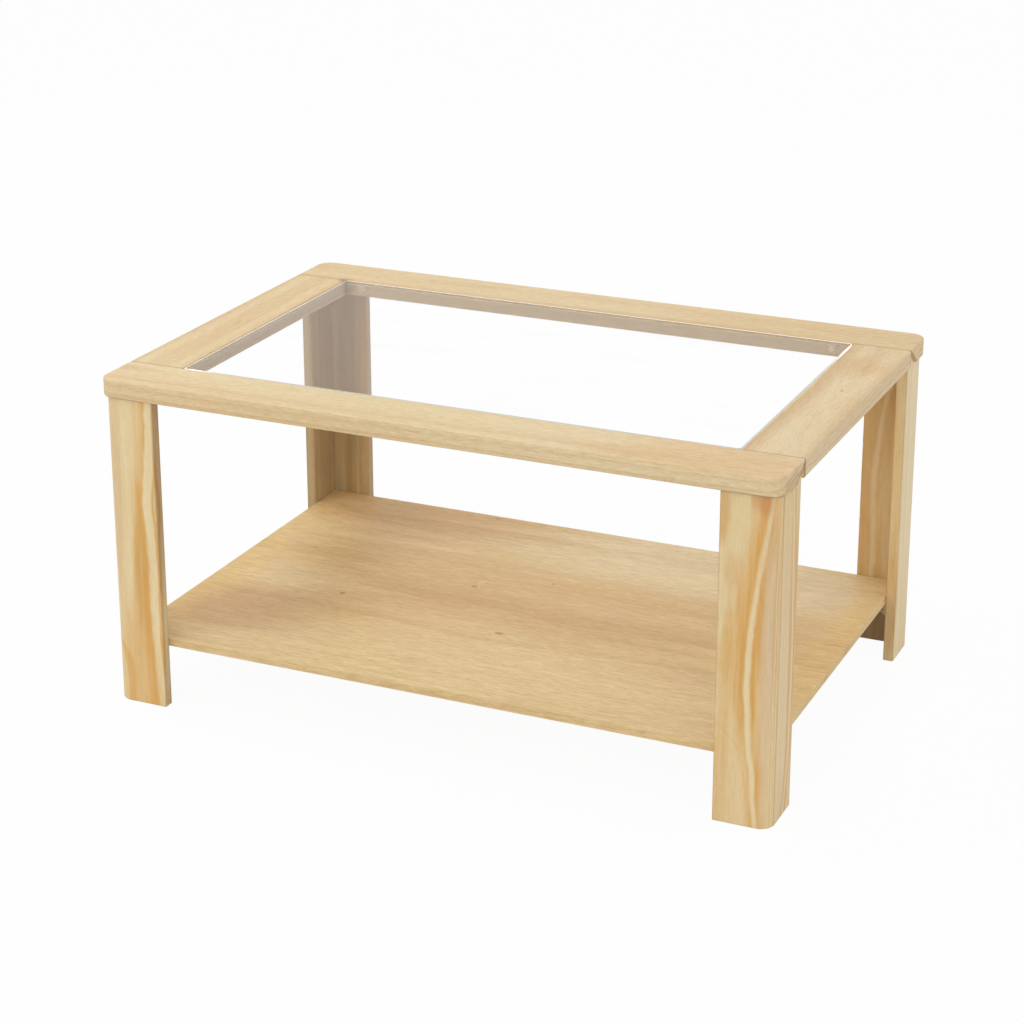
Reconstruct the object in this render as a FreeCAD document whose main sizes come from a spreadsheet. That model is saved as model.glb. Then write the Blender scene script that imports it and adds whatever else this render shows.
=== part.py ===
"""Coffee table in clear-finished pine with a glass infill and a lower shelf.

Frame of the part: +X along the length, +Y from the front to the rear, +Z up.
The origin is on the floor, under the middle of the table. Lengths are in mm.
"""
import FreeCAD, Part
import math
import os
import Sketcher

SIZES = {
    # whole table
    "table_length": 900.0,
    "table_depth": 600.0,
    "table_height": 440.0,
    # rails of the top frame
    "rail_width": 77.0,
    "rail_thickness": 24.0,
    "corner_radius": 20.0,
    "edge_round": 2.5,
    "inner_round": 1.0,
    "seam_bevel": 0.6,
    # legs, each an L of two boards, set in from the rim of the top
    "leg_inset": 4.0,
    "leg_board": 14.0,
    "leg_width": 72.0,
    "corner_lap": 4.0,
    "leg_edge_round": 1.0,
    "foot_bevel": 1.0,
    # haunch at the head of each side board and its seat in the long rail
    "haunch_width": 30.0,
    "haunch_gap": 0.2,
    # glass infill, flush with the rails
    "glass_thickness": 5.0,
    "glass_gap": 1.5,
    "glass_corner": 3.0,
    "glass_bevel": 0.7,
    # pins and clear pads that carry the glass
    "pin_diameter": 5.0,
    "pin_bite": 9.0,
    "pin_reach": 9.0,
    "pin_inset": 28.0,
    "pin_bevel": 0.5,
    "pad_wall": 1.6,
    "pad_round": 1.0,
    "pad_stand_off": 0.3,
    # lower shelf
    "shelf_height": 93.0,
    "shelf_thickness": 12.0,
    "shelf_gap": 0.5,
    "shelf_edge_round": 1.0,
    # corner blocks under the shelf
    "block_side": 42.0,
    "block_height": 24.0,
    "block_nose": 3.0,
    # screws through the blocks
    "screw_diameter": 4.0,
    "screw_head_diameter": 8.0,
    "screw_head_height": 2.5,
    "screw_point": 3.0,
    "screw_grip": 14.0,
    "screw_bite": 11.0,
    "screw_spacing": 10.0,
    "shelf_screw_offset": 8.0,
    "shelf_screw_bite": 8.0,
    "shelf_screw_sink": 3.0,
    # dowels between long and short rails
    "rail_dowel_diameter": 8.0,
    "rail_dowel_length": 40.0,
    "rail_dowel_margin": 10.0,
    "rail_dowel_spacing": 28.0,
    # dowels from the heads of the leg boards into the rails
    "head_dowel_diameter": 6.0,
    "head_dowel_bite": 16.0,
    "head_dowel_rise": 12.0,
    "head_dowel_margin": 15.0,
    "head_dowel_spacing": 30.0,
    # dowels between the two boards of a leg
    "side_dowel_diameter": 5.0,
    "side_dowel_offset": 5.5,
    "side_dowel_face_bite": 6.0,
    "side_dowel_edge_bite": 16.0,
    "side_dowel_margin": 33.0,
    # clearances
    "dowel_bevel": 0.8,
    "bore_gap": 0.1,
    "bore_end_gap": 0.8,
    "overrun": 1.0,
}

# how close two places lie when they count as the same
TOLERANCE = 1e-4


class Size:
    """A length that knows both its number and its expression in the sheet."""

    def __init__(self, text, value):
        self.text = text
        self.value = value

    def join(self, other, sign, value):
        return Size(f"({self.text} {sign} {text_of(other)})", value)

    def __add__(self, other):
        return self.join(other, "+", self.value + value_of(other))

    def __sub__(self, other):
        return self.join(other, "-", self.value - value_of(other))

    def __mul__(self, other):
        return self.join(other, "*", self.value * value_of(other))

    def __truediv__(self, other):
        return self.join(other, "/", self.value / value_of(other))

    def __neg__(self):
        return Size(f"(-{self.text})", -self.value)

    def root(self):
        return Size(f"sqrt({self.text})", math.sqrt(self.value))


def text_of(item):
    return item.text if isinstance(item, Size) else repr(item)


def value_of(item):
    return item.value if isinstance(item, Size) else item


ZERO = Size("0", 0.0)

doc = FreeCAD.newDocument("coffee_table")
sheet = doc.addObject("Spreadsheet::Sheet", "Sizes")
for row, (word, number) in enumerate(SIZES.items(), start=1):
    sheet.set(f"A{row}", word)
    sheet.set(f"B{row}", repr(number))
    sheet.setAlias(f"B{row}", word)
doc.recompute()


def size(word):
    """The named cell of the sheet as a Size."""
    return Size(f"Sizes.{word}", float(sheet.get(word)))


LENGTH, DEPTH, HEIGHT = size("table_length"), size("table_depth"), size("table_height")
RAIL_WIDTH, RAIL = size("rail_width"), size("rail_thickness")
EDGE_ROUND, INNER_ROUND = size("edge_round"), size("inner_round")
INSET, BOARD = size("leg_inset"), size("leg_board")
LEG_WIDTH = size("leg_width")
HAUNCH, HAUNCH_GAP = size("haunch_width"), size("haunch_gap")
GLASS, GLASS_GAP = size("glass_thickness"), size("glass_gap")
PIN, PIN_BITE, PIN_REACH = size("pin_diameter"), size("pin_bite"), size("pin_reach")
PIN_INSET, PAD_WALL = size("pin_inset"), size("pad_wall")
SHELF_HEIGHT, SHELF = size("shelf_height"), size("shelf_thickness")
BLOCK, BLOCK_HEIGHT = size("block_side"), size("block_height")
SCREW, SCREW_GRIP, SCREW_BITE = size("screw_diameter"), size("screw_grip"), size("screw_bite")
SCREW_HEAD, SCREW_HEAD_HEIGHT = size("screw_head_diameter"), size("screw_head_height")
SHELF_SCREW_BITE, SHELF_SCREW_SINK = size("shelf_screw_bite"), size("shelf_screw_sink")
RAIL_DOWEL, RAIL_DOWEL_LENGTH = size("rail_dowel_diameter"), size("rail_dowel_length")
HEAD_DOWEL, SIDE_DOWEL = size("head_dowel_diameter"), size("side_dowel_diameter")
HEAD_BITE, HEAD_RISE = size("head_dowel_bite"), size("head_dowel_rise")
FACE_BITE, EDGE_BITE = size("side_dowel_face_bite"), size("side_dowel_edge_bite")
BORE_GAP, END_GAP, OVERRUN = size("bore_gap"), size("bore_end_gap"), size("overrun")

HALF_LENGTH = LENGTH / 2
HALF_DEPTH = DEPTH / 2
LEG_HEIGHT = HEIGHT - RAIL
LEG_RADIUS = BOARD + size("corner_lap")
SIDE_REACH = RAIL_WIDTH - INSET
HAUNCH_HEIGHT = RAIL - EDGE_ROUND
OPENING_LENGTH = LENGTH - RAIL_WIDTH * 2
OPENING_DEPTH = DEPTH - RAIL_WIDTH * 2
BORE_FIT = BORE_GAP * 2

# places along a long rail, counted from its end
NOTCH_LENGTH = INSET + BOARD + HAUNCH_GAP
RAIL_DOWEL_PLACES = (
    NOTCH_LENGTH + size("rail_dowel_margin"),
    NOTCH_LENGTH + size("rail_dowel_margin") + size("rail_dowel_spacing"),
)
PIN_PLACE = RAIL_WIDTH + PIN_INSET

# places on a leg, counted from its outer corner
FACE_DOWEL_PLACES = (
    LEG_WIDTH - size("head_dowel_margin"),
    LEG_WIDTH - size("head_dowel_margin") - size("head_dowel_spacing"),
)
EDGE_DOWEL_PLACE = BOARD + size("head_dowel_margin")
SIDE_DOWEL_PLACE = BOARD - size("side_dowel_offset")
SIDE_DOWEL_HEIGHTS = (
    size("side_dowel_margin"),
    LEG_HEIGHT / 2,
    LEG_HEIGHT - size("side_dowel_margin"),
)
SCREW_PLACE = BOARD + SCREW_GRIP
BLOCK_BASE = SHELF_HEIGHT - SHELF - BLOCK_HEIGHT
SCREW_HEIGHTS = (
    BLOCK_BASE + (BLOCK_HEIGHT - size("screw_spacing")) / 2,
    BLOCK_BASE + (BLOCK_HEIGHT + size("screw_spacing")) / 2,
)
SHELF_SCREW_PLACE = BOARD + size("shelf_screw_offset")

# the four corners: name, side of the leg's wide board, sign along X, sign along Y
CORNERS = (
    ("front_left", "front", -1, -1),
    ("front_right", "front", 1, -1),
    ("rear_right", "rear", 1, 1),
    ("rear_left", "rear", -1, 1),
)

pieces = []


def keep(piece):
    pieces.append(piece)
    return piece


def new_body(label):
    body = doc.addObject("PartDesign::Body", label)
    body.Label = label
    return keep(body)


def set_place(body, x, y, z, turned):
    """Put the body's origin at x, y, z, turned half round Z where asked."""
    angle = 180 if turned else 0
    spot = FreeCAD.Vector(value_of(x), value_of(y), value_of(z))
    body.Placement = FreeCAD.Placement(spot, FreeCAD.Rotation(FreeCAD.Vector(0, 0, 1), angle))
    for axis, place in zip("xyz", (x, y, z)):
        body.setExpression(f"Placement.Base.{axis}", text_of(place))


def origin_item(body, role):
    """One of the body's own planes or axes."""
    return next(item for item in body.Origin.OriginFeatures if item.Role == role)


def new_sketch(body, name, role, offset=ZERO, across=ZERO, along=ZERO):
    """An empty sketch on one of the body's own planes, moved out along its normal and in the plane."""
    sketch = body.newObject("Sketcher::SketchObject", name)
    sketch.AttachmentSupport = [(origin_item(body, role), "")]
    sketch.MapMode = "FlatFace"
    spot = (across, along, offset)
    sketch.AttachmentOffset = FreeCAD.Placement(
        FreeCAD.Vector(*[place.value for place in spot]), FreeCAD.Rotation())
    for axis, place in zip("xyz", spot):
        sketch.setExpression(f"AttachmentOffset.Base.{axis}", place.text)
    return sketch


def hold(sketch, kind, geometry, point, place):
    """Hold one coordinate of a point at its distance from the sketch's origin."""
    index = sketch.addConstraint(Sketcher.Constraint(kind, -1, 1, geometry, point, place.value))
    sketch.setExpression(f"Constraints[{index}]", place.text)


def hold_point(sketch, geometry, point, spot):
    hold(sketch, "DistanceX", geometry, point, spot[0])
    hold(sketch, "DistanceY", geometry, point, spot[1])


def vector(spot):
    return FreeCAD.Vector(spot[0].value, spot[1].value, 0)


def turn_of(centre, start, end):
    """Which way the short arc from start to end runs round its centre."""
    one = vector(start) - vector(centre)
    two = vector(end) - vector(centre)
    return one.x * two.y - one.y * two.x


def outline(sketch, corners):
    """A closed outline. Each item is (point,) or (point, centre of the arc to the next)."""
    count = len(corners)
    ends = []
    for index, item in enumerate(corners):
        start = item[0]
        end = corners[(index + 1) % count][0]
        if len(item) == 1:
            geometry = sketch.addGeometry(Part.LineSegment(vector(start), vector(end)), False)
            ends.append((geometry, 1, 2))
            continue
        centre = item[1]
        onward = turn_of(centre, start, end) > 0
        first, last = (start, end) if onward else (end, start)
        ray, far = vector(first) - vector(centre), vector(last) - vector(centre)
        circle = Part.Circle(vector(centre), FreeCAD.Vector(0, 0, 1), ray.Length)
        arc = Part.ArcOfCircle(circle, math.atan2(ray.y, ray.x), math.atan2(far.y, far.x))
        geometry = sketch.addGeometry(arc, False)
        ends.append((geometry, 1, 2) if onward else (geometry, 2, 1))
        hold(sketch, "DistanceX", geometry, 3, centre[0])
    for index, (geometry, _, tail) in enumerate(ends):
        following, head, _ = ends[(index + 1) % count]
        sketch.addConstraint(Sketcher.Constraint("Coincident", geometry, tail, following, head))
    for (geometry, head, _), item in zip(ends, corners):
        hold_point(sketch, geometry, head, item[0])


def circles(sketch, spots, diameter):
    for spot in spots:
        circle = Part.Circle(vector(spot), FreeCAD.Vector(0, 0, 1), diameter.value / 2)
        geometry = sketch.addGeometry(circle, False)
        hold_point(sketch, geometry, 3, spot)
        index = sketch.addConstraint(Sketcher.Constraint("Diameter", geometry, diameter.value))
        sketch.setExpression(f"Constraints[{index}]", diameter.text)


def pad(body, name, sketch, length, backward=False):
    feature = body.newObject("PartDesign::Pad", name)
    feature.Profile = sketch
    feature.Reversed = backward
    feature.Length = length.value
    feature.setExpression("Length", length.text)
    doc.recompute()
    return feature


def pocket(body, name, sketch, length, backward):
    """A cut that must take something away."""
    before = body.Shape.Volume
    feature = body.newObject("PartDesign::Pocket", name)
    feature.Profile = sketch
    feature.Reversed = backward
    feature.Length = length.value
    feature.setExpression("Length", length.text)
    doc.recompute()
    if not body.Shape.Volume < before:
        raise RuntimeError(f"{body.Label}: {name} cuts nothing")
    return feature


def drill(body, name, role, offset, spots, diameter, depth, backward):
    """Round holes of one size, from a plane of the body into the piece."""
    sketch = new_sketch(body, f"{name}_sketch", role, offset)
    circles(sketch, spots, diameter)
    return pocket(body, name, sketch, depth, backward)


def dress(body, kind, name, radius, choose, field):
    """A fillet or chamfer on the edges of the tip that the test picks."""
    base = body.Tip
    names = [f"Edge{n}" for n, edge in enumerate(base.Shape.Edges, start=1) if choose(edge)]
    feature = body.newObject(kind, name)
    feature.Base = (base, names)
    setattr(feature, field, radius.value)
    feature.setExpression(field, radius.text)
    doc.recompute()
    return feature


def fillet(body, name, radius, choose):
    return dress(body, "PartDesign::Fillet", name, radius, choose, "Radius")


def chamfer(body, name, width, choose):
    return dress(body, "PartDesign::Chamfer", name, width, choose, "Size")


def near(one, two):
    return math.isclose(one, two, abs_tol=TOLERANCE)


def low(edge, axis):
    return getattr(edge.BoundBox, f"{axis}Min")


def high(edge, axis):
    return getattr(edge.BoundBox, f"{axis}Max")


def flat_at(edge, axis, place):
    """True where the whole edge lies at one place along an axis."""
    return near(low(edge, axis), value_of(place)) and near(high(edge, axis), value_of(place))


def upright(edge):
    return high(edge, "Z") - low(edge, "Z") > RAIL.value / 2


def long_rail(label, turned):
    """Front or rear rail: full length, round outer corners, a seat for each haunch."""
    body = new_body(label)
    radius = size("corner_radius")
    sketch = new_sketch(body, f"{label}_plan", "XY_Plane")
    outline(sketch, (
        ((-HALF_LENGTH + radius, ZERO),),
        ((HALF_LENGTH - radius, ZERO), (HALF_LENGTH - radius, radius)),
        ((HALF_LENGTH, radius),),
        ((HALF_LENGTH, RAIL_WIDTH),),
        ((-HALF_LENGTH, RAIL_WIDTH),),
        ((-HALF_LENGTH, radius), (-HALF_LENGTH + radius, radius)),
    ))
    pad(body, f"{label}_board", sketch, RAIL)

    def level(edge):
        return flat_at(edge, "Z", ZERO) or flat_at(edge, "Z", RAIL)

    fillet(body, f"{label}_outer_round", EDGE_ROUND,
           lambda edge: level(edge) and not flat_at(edge, "Y", RAIL_WIDTH))
    fillet(body, f"{label}_inner_round", INNER_ROUND,
           lambda edge: near(edge.CenterOfMass.y, RAIL_WIDTH.value)
           and (near(edge.CenterOfMass.z, 0) or near(edge.CenterOfMass.z, RAIL.value)))
    for side in (-1, 1):
        notch = new_sketch(body, f"{label}_notch_sketch", "YZ_Plane", (HALF_LENGTH + OVERRUN) * side)
        toe = RAIL_WIDTH - HAUNCH - HAUNCH_GAP
        rise = HAUNCH_HEIGHT / HAUNCH
        outline(notch, (
            ((toe - OVERRUN / rise, -OVERRUN),),
            ((RAIL_WIDTH + OVERRUN, -OVERRUN),),
            ((RAIL_WIDTH + OVERRUN, HAUNCH_HEIGHT + (HAUNCH_GAP + OVERRUN) * rise),),
        ))
        pocket(body, f"{label}_notch", notch, NOTCH_LENGTH + OVERRUN, side < 0)
    spots = [((HALF_LENGTH - place) * side, RAIL / 2) for place in RAIL_DOWEL_PLACES for side in (-1, 1)]
    drill(body, f"{label}_dowel_holes", "XZ_Plane", -RAIL_WIDTH, spots,
          RAIL_DOWEL + BORE_FIT, RAIL_DOWEL_LENGTH / 2 + END_GAP, True)
    spots = [((HALF_LENGTH - PIN_PLACE) * side, RAIL / 2) for side in (-1, 1)]
    drill(body, f"{label}_pin_holes", "XZ_Plane", -RAIL_WIDTH, spots,
          PIN + BORE_FIT, PIN_BITE + END_GAP, True)
    spots = []
    for side in (-1, 1):
        for place in FACE_DOWEL_PLACES:
            spots.append(((HALF_LENGTH - INSET - place) * side, INSET + BOARD / 2))
        spots.append(((HALF_LENGTH - INSET - BOARD / 2) * side, INSET + EDGE_DOWEL_PLACE))
    drill(body, f"{label}_head_holes", "XY_Plane", ZERO, spots,
          HEAD_DOWEL + BORE_FIT, HEAD_RISE + END_GAP, True)
    set_place(body, ZERO, HALF_DEPTH if turned else -HALF_DEPTH, LEG_HEIGHT, turned)


def short_rail(label, turned):
    """Left or right rail, butted between the long rails."""
    body = new_body(label)
    half = OPENING_DEPTH / 2
    sketch = new_sketch(body, f"{label}_plan", "XY_Plane")
    outline(sketch, (((ZERO, -half),), ((RAIL_WIDTH, -half),), ((RAIL_WIDTH, half),), ((ZERO, half),)))
    pad(body, f"{label}_board", sketch, RAIL)
    fillet(body, f"{label}_outer_round", EDGE_ROUND,
           lambda edge: flat_at(edge, "X", ZERO) and not upright(edge))
    fillet(body, f"{label}_inner_round", INNER_ROUND,
           lambda edge: flat_at(edge, "X", RAIL_WIDTH) and not upright(edge))
    chamfer(body, f"{label}_seam_bevel", size("seam_bevel"),
            lambda edge: flat_at(edge, "Y", half) or flat_at(edge, "Y", -half))
    spots = [(place, RAIL / 2) for place in RAIL_DOWEL_PLACES]
    for side in (-1, 1):
        drill(body, f"{label}_dowel_holes", "XZ_Plane", -half * side, spots,
              RAIL_DOWEL + BORE_FIT, RAIL_DOWEL_LENGTH / 2 + END_GAP, side > 0)
    set_place(body, HALF_LENGTH if turned else -HALF_LENGTH, ZERO, LEG_HEIGHT, turned)


def leg_place(body, x_sign, y_sign, base=ZERO):
    """Set a piece that is drawn from the leg's outer corner. Rear legs are turned half round."""
    x = (HALF_LENGTH - INSET) * x_sign
    y = (HALF_DEPTH - INSET) * y_sign
    set_place(body, x, y, base, y_sign > 0)


def arc_depth():
    """How far the rounded outer corner is set in where the two boards meet."""
    across = LEG_RADIUS - BOARD
    return LEG_RADIUS - (LEG_RADIUS * LEG_RADIUS - across * across).root()


def wide_board(label, x_sign, y_sign):
    """The leg's wide board, which faces the front or the rear of the table."""
    body = new_body(label)
    hand = x_sign * y_sign
    centre = (LEG_RADIUS * hand, LEG_RADIUS)
    sketch = new_sketch(body, f"{label}_plan", "XY_Plane")
    outline(sketch, (
        ((LEG_WIDTH * hand, ZERO),),
        ((LEG_WIDTH * hand, BOARD),),
        ((arc_depth() * hand, BOARD), centre),
        ((LEG_RADIUS * hand, ZERO),),
    ))
    pad(body, f"{label}_board", sketch, LEG_HEIGHT)
    fillet(body, f"{label}_edge_round", size("leg_edge_round"),
           lambda edge: upright(edge) and flat_at(edge, "X", LEG_WIDTH * hand))
    chamfer(body, f"{label}_foot_bevel", size("foot_bevel"),
            lambda edge: flat_at(edge, "Z", ZERO) and not flat_at(edge, "Y", BOARD))
    spots = [(place * hand, BOARD / 2) for place in FACE_DOWEL_PLACES]
    drill(body, f"{label}_head_holes", "XY_Plane", LEG_HEIGHT, spots,
          HEAD_DOWEL + BORE_FIT, HEAD_BITE + END_GAP, False)
    spots = [(SIDE_DOWEL_PLACE * hand, height) for height in SIDE_DOWEL_HEIGHTS]
    drill(body, f"{label}_side_holes", "XZ_Plane", -BOARD, spots,
          SIDE_DOWEL + BORE_FIT, FACE_BITE + END_GAP, True)
    drill(body, f"{label}_screw_hole", "XZ_Plane", -BOARD, [(SCREW_PLACE * hand, SCREW_HEIGHTS[0])],
          SCREW + BORE_FIT, SCREW_BITE + END_GAP, True)
    leg_place(body, x_sign, y_sign)


def side_board(label, x_sign, y_sign):
    """The leg's narrow board, with a haunch that rises beside the end of the short rail."""
    body = new_body(label)
    hand = x_sign * y_sign
    centre = (LEG_RADIUS * hand, LEG_RADIUS)
    sketch = new_sketch(body, f"{label}_plan", "XY_Plane")
    outline(sketch, (
        ((arc_depth() * hand, BOARD),),
        ((BOARD * hand, BOARD),),
        ((BOARD * hand, SIDE_REACH),),
        ((ZERO, SIDE_REACH),),
        ((ZERO, LEG_RADIUS), centre),
    ))
    pad(body, f"{label}_board", sketch, LEG_HEIGHT)
    fillet(body, f"{label}_edge_round", size("leg_edge_round"),
           lambda edge: upright(edge) and flat_at(edge, "Y", SIDE_REACH))
    chamfer(body, f"{label}_foot_bevel", size("foot_bevel"),
            lambda edge: flat_at(edge, "Z", ZERO) and not flat_at(edge, "Y", BOARD))
    haunch = new_sketch(body, f"{label}_haunch_sketch", "YZ_Plane")
    outline(haunch, (
        ((SIDE_REACH - HAUNCH, LEG_HEIGHT),),
        ((SIDE_REACH, LEG_HEIGHT),),
        ((SIDE_REACH, LEG_HEIGHT + HAUNCH_HEIGHT),),
    ))
    pad(body, f"{label}_haunch", haunch, BOARD, hand < 0)
    drill(body, f"{label}_head_hole", "XY_Plane", LEG_HEIGHT, [(BOARD / 2 * hand, EDGE_DOWEL_PLACE)],
          HEAD_DOWEL + BORE_FIT, HEAD_BITE + END_GAP, False)
    spots = [(SIDE_DOWEL_PLACE * hand, height) for height in SIDE_DOWEL_HEIGHTS]
    drill(body, f"{label}_side_holes", "XZ_Plane", -BOARD, spots,
          SIDE_DOWEL + BORE_FIT, EDGE_BITE + END_GAP, False)
    drill(body, f"{label}_screw_hole", "YZ_Plane", BOARD * hand, [(SCREW_PLACE, SCREW_HEIGHTS[1])],
          SCREW + BORE_FIT, SCREW_BITE + END_GAP, hand < 0)
    leg_place(body, x_sign, y_sign)


def shelf_block(label, x_sign, y_sign):
    """A three-cornered block in the angle of the leg, under the shelf."""
    body = new_body(label)
    hand = x_sign * y_sign
    nose = size("block_nose")
    sketch = new_sketch(body, f"{label}_plan", "XY_Plane")
    outline(sketch, (
        ((BOARD * hand, BOARD),),
        (((BOARD + BLOCK) * hand, BOARD),),
        (((BOARD + BLOCK) * hand, BOARD + nose),),
        (((BOARD + nose) * hand, BOARD + BLOCK),),
        ((BOARD * hand, BOARD + BLOCK),),
    ))
    pad(body, f"{label}_board", sketch, BLOCK_HEIGHT)
    through = BLOCK + OVERRUN
    seat = BOARD + SCREW_GRIP
    hole, head = SCREW + BORE_FIT, SCREW_HEAD + BORE_FIT * 2
    spots = [(SCREW_PLACE * hand, SCREW_HEIGHTS[0] - BLOCK_BASE)]
    drill(body, f"{label}_wide_screw_hole", "XZ_Plane", -BOARD, spots, hole, through, False)
    drill(body, f"{label}_wide_screw_seat", "XZ_Plane", -seat, spots, head, through, False)
    spots = [(SCREW_PLACE, SCREW_HEIGHTS[1] - BLOCK_BASE)]
    drill(body, f"{label}_side_screw_hole", "YZ_Plane", BOARD * hand, spots, hole, through, hand > 0)
    drill(body, f"{label}_side_screw_seat", "YZ_Plane", seat * hand, spots, head, through, hand > 0)
    spots = [(SHELF_SCREW_PLACE * hand, SHELF_SCREW_PLACE)]
    drill(body, f"{label}_shelf_screw_hole", "XY_Plane", ZERO, spots, hole, BLOCK_HEIGHT + OVERRUN, True)
    drill(body, f"{label}_shelf_screw_seat", "XY_Plane", ZERO, spots, head, SHELF_SCREW_SINK, True)
    leg_place(body, x_sign, y_sign, BLOCK_BASE)


def panel(label, length, depth, thickness, base):
    """A rectangular board or pane, centred on the table."""
    body = new_body(label)
    x, y = length / 2, depth / 2
    sketch = new_sketch(body, f"{label}_plan", "XY_Plane")
    outline(sketch, (((-x, -y),), ((x, -y),), ((x, y),), ((-x, y),)))
    pad(body, f"{label}_board", sketch, thickness)
    set_place(body, ZERO, ZERO, base, False)
    return body


def standing(edge):
    box = edge.BoundBox
    return box.ZLength > box.XLength + box.YLength


def glass_panel():
    body = panel("glass_panel", OPENING_LENGTH - GLASS_GAP * 2, OPENING_DEPTH - GLASS_GAP * 2,
                 GLASS, HEIGHT - GLASS)
    fillet(body, "glass_corners", size("glass_corner"), standing)
    chamfer(body, "glass_arris", size("glass_bevel"),
            lambda edge: flat_at(edge, "Z", ZERO) or flat_at(edge, "Z", GLASS))


def shelf_panel():
    gap = size("shelf_gap")
    inner = (INSET + BOARD + gap) * 2
    body = panel("shelf_panel", LENGTH - inner, DEPTH - inner, SHELF, SHELF_HEIGHT - SHELF)
    fillet(body, "shelf_edges", size("shelf_edge_round"),
           lambda edge: flat_at(edge, "Z", ZERO) or flat_at(edge, "Z", SHELF))
    x = HALF_LENGTH - INSET - SHELF_SCREW_PLACE
    y = HALF_DEPTH - INSET - SHELF_SCREW_PLACE
    spots = [(x * x_sign, y * y_sign) for _, _, x_sign, y_sign in CORNERS]
    drill(body, "shelf_screw_holes", "XY_Plane", ZERO, spots,
          SCREW + BORE_FIT, SHELF_SCREW_BITE + END_GAP, True)


def turned(body, name, sketch, profile, axis="V_Axis"):
    """A turned solid from (radius, place along the axis) points that start and end on the axis."""
    outline(sketch, [((radius, place) if axis == "V_Axis" else (place, radius),) for radius, place in profile])
    feature = body.newObject("PartDesign::Revolution", name)
    feature.Profile = sketch
    feature.ReferenceAxis = (sketch, [axis])
    feature.Angle = 360
    doc.recompute()
    return feature


def peg_profile(diameter, length, bevel):
    """A round peg with bevelled ends that starts at the origin."""
    radius = diameter / 2
    return (
        (ZERO, ZERO),
        (radius - bevel, ZERO),
        (radius, bevel),
        (radius, length - bevel),
        (radius - bevel, length),
        (ZERO, length),
    )


def screw_profile(length):
    """A screw with a low round head behind the origin and its point ahead."""
    radius = SCREW / 2
    head = SCREW_HEAD / 2
    return (
        (ZERO, -SCREW_HEAD_HEIGHT),
        (head - SCREW_HEAD_HEIGHT / 2, -SCREW_HEAD_HEIGHT),
        (head, -SCREW_HEAD_HEIGHT / 2),
        (head, ZERO),
        (radius, ZERO),
        (radius, length - size("screw_point")),
        (ZERO, length),
    )


def row(body, name, feature, axis, step, count):
    """Copies of one feature in a row, one step apart."""
    pattern = body.newObject("PartDesign::LinearPattern", name)
    pattern.Originals = [feature]
    pattern.Direction = (origin_item(body, axis), [""])
    pattern.Mode = "Spacing"
    pattern.Offset = step.value
    pattern.setExpression("Offset", step.text)
    pattern.Occurrences = count
    body.Tip = pattern
    doc.recompute()


def four_corners(body):
    """What stands at the rear right corner is mirrored to the left and then to the front."""
    for role in ("YZ_Plane", "XZ_Plane"):
        mirror = body.newObject("PartDesign::Mirrored", f"{body.Label}_{role}_mirror")
        mirror.TransformMode = "Whole shape"
        mirror.MirrorPlane = (origin_item(body, role), [""])
        body.Tip = mirror
        doc.recompute()
    set_place(body, ZERO, ZERO, ZERO, False)


def rail_joint_dowels():
    body = new_body("rail_joint_dowels")
    sketch = new_sketch(body, "rail_dowel_profile", "XY_Plane", HEIGHT - RAIL / 2,
                        HALF_LENGTH - RAIL_DOWEL_PLACES[1], HALF_DEPTH - RAIL_WIDTH - RAIL_DOWEL_LENGTH / 2)
    dowel = turned(body, "rail_dowel", sketch,
                   peg_profile(RAIL_DOWEL, RAIL_DOWEL_LENGTH, size("dowel_bevel")))
    row(body, "rail_dowel_row", dowel, "X_Axis", size("rail_dowel_spacing"), 2)
    four_corners(body)


def leg_head_dowels():
    """Two dowels in the head of each wide board and one in the head of each side board."""
    body = new_body("leg_head_dowels")
    profile = peg_profile(HEAD_DOWEL, HEAD_BITE + HEAD_RISE, size("dowel_bevel"))
    base = LEG_HEIGHT - HEAD_BITE
    sketch = new_sketch(body, "wide_head_dowel_profile", "XZ_Plane", INSET + BOARD / 2 - HALF_DEPTH,
                        HALF_LENGTH - INSET - FACE_DOWEL_PLACES[0], base)
    dowel = turned(body, "wide_head_dowel", sketch, profile)
    row(body, "wide_head_dowel_row", dowel, "X_Axis", size("head_dowel_spacing"), 2)
    sketch = new_sketch(body, "side_head_dowel_profile", "XZ_Plane", INSET + EDGE_DOWEL_PLACE - HALF_DEPTH,
                        HALF_LENGTH - INSET - BOARD / 2, base)
    turned(body, "side_head_dowel", sketch, profile)
    four_corners(body)


def leg_side_dowels():
    body = new_body("leg_side_dowels")
    sketch = new_sketch(body, "side_dowel_profile", "XY_Plane", SIDE_DOWEL_HEIGHTS[0],
                        HALF_LENGTH - INSET - SIDE_DOWEL_PLACE, HALF_DEPTH - INSET - BOARD - EDGE_BITE)
    dowel = turned(body, "side_dowel", sketch,
                   peg_profile(SIDE_DOWEL, FACE_BITE + EDGE_BITE, size("dowel_bevel")))
    row(body, "side_dowel_row", dowel, "Z_Axis", SIDE_DOWEL_HEIGHTS[1] - SIDE_DOWEL_HEIGHTS[0], 3)
    four_corners(body)


def block_screws():
    """In each block one screw into the wide board and, higher up, one into the side board."""
    body = new_body("block_screws")
    profile = screw_profile(SCREW_GRIP + SCREW_BITE)
    x = HALF_LENGTH - INSET - SCREW_PLACE
    y = HALF_DEPTH - INSET - SCREW_PLACE
    sketch = new_sketch(body, "wide_screw_profile", "XY_Plane", SCREW_HEIGHTS[0], x, y)
    turned(body, "wide_screw", sketch, profile)
    sketch = new_sketch(body, "side_screw_profile", "XY_Plane", SCREW_HEIGHTS[1], x, y)
    turned(body, "side_screw", sketch, profile, "H_Axis")
    four_corners(body)


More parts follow.
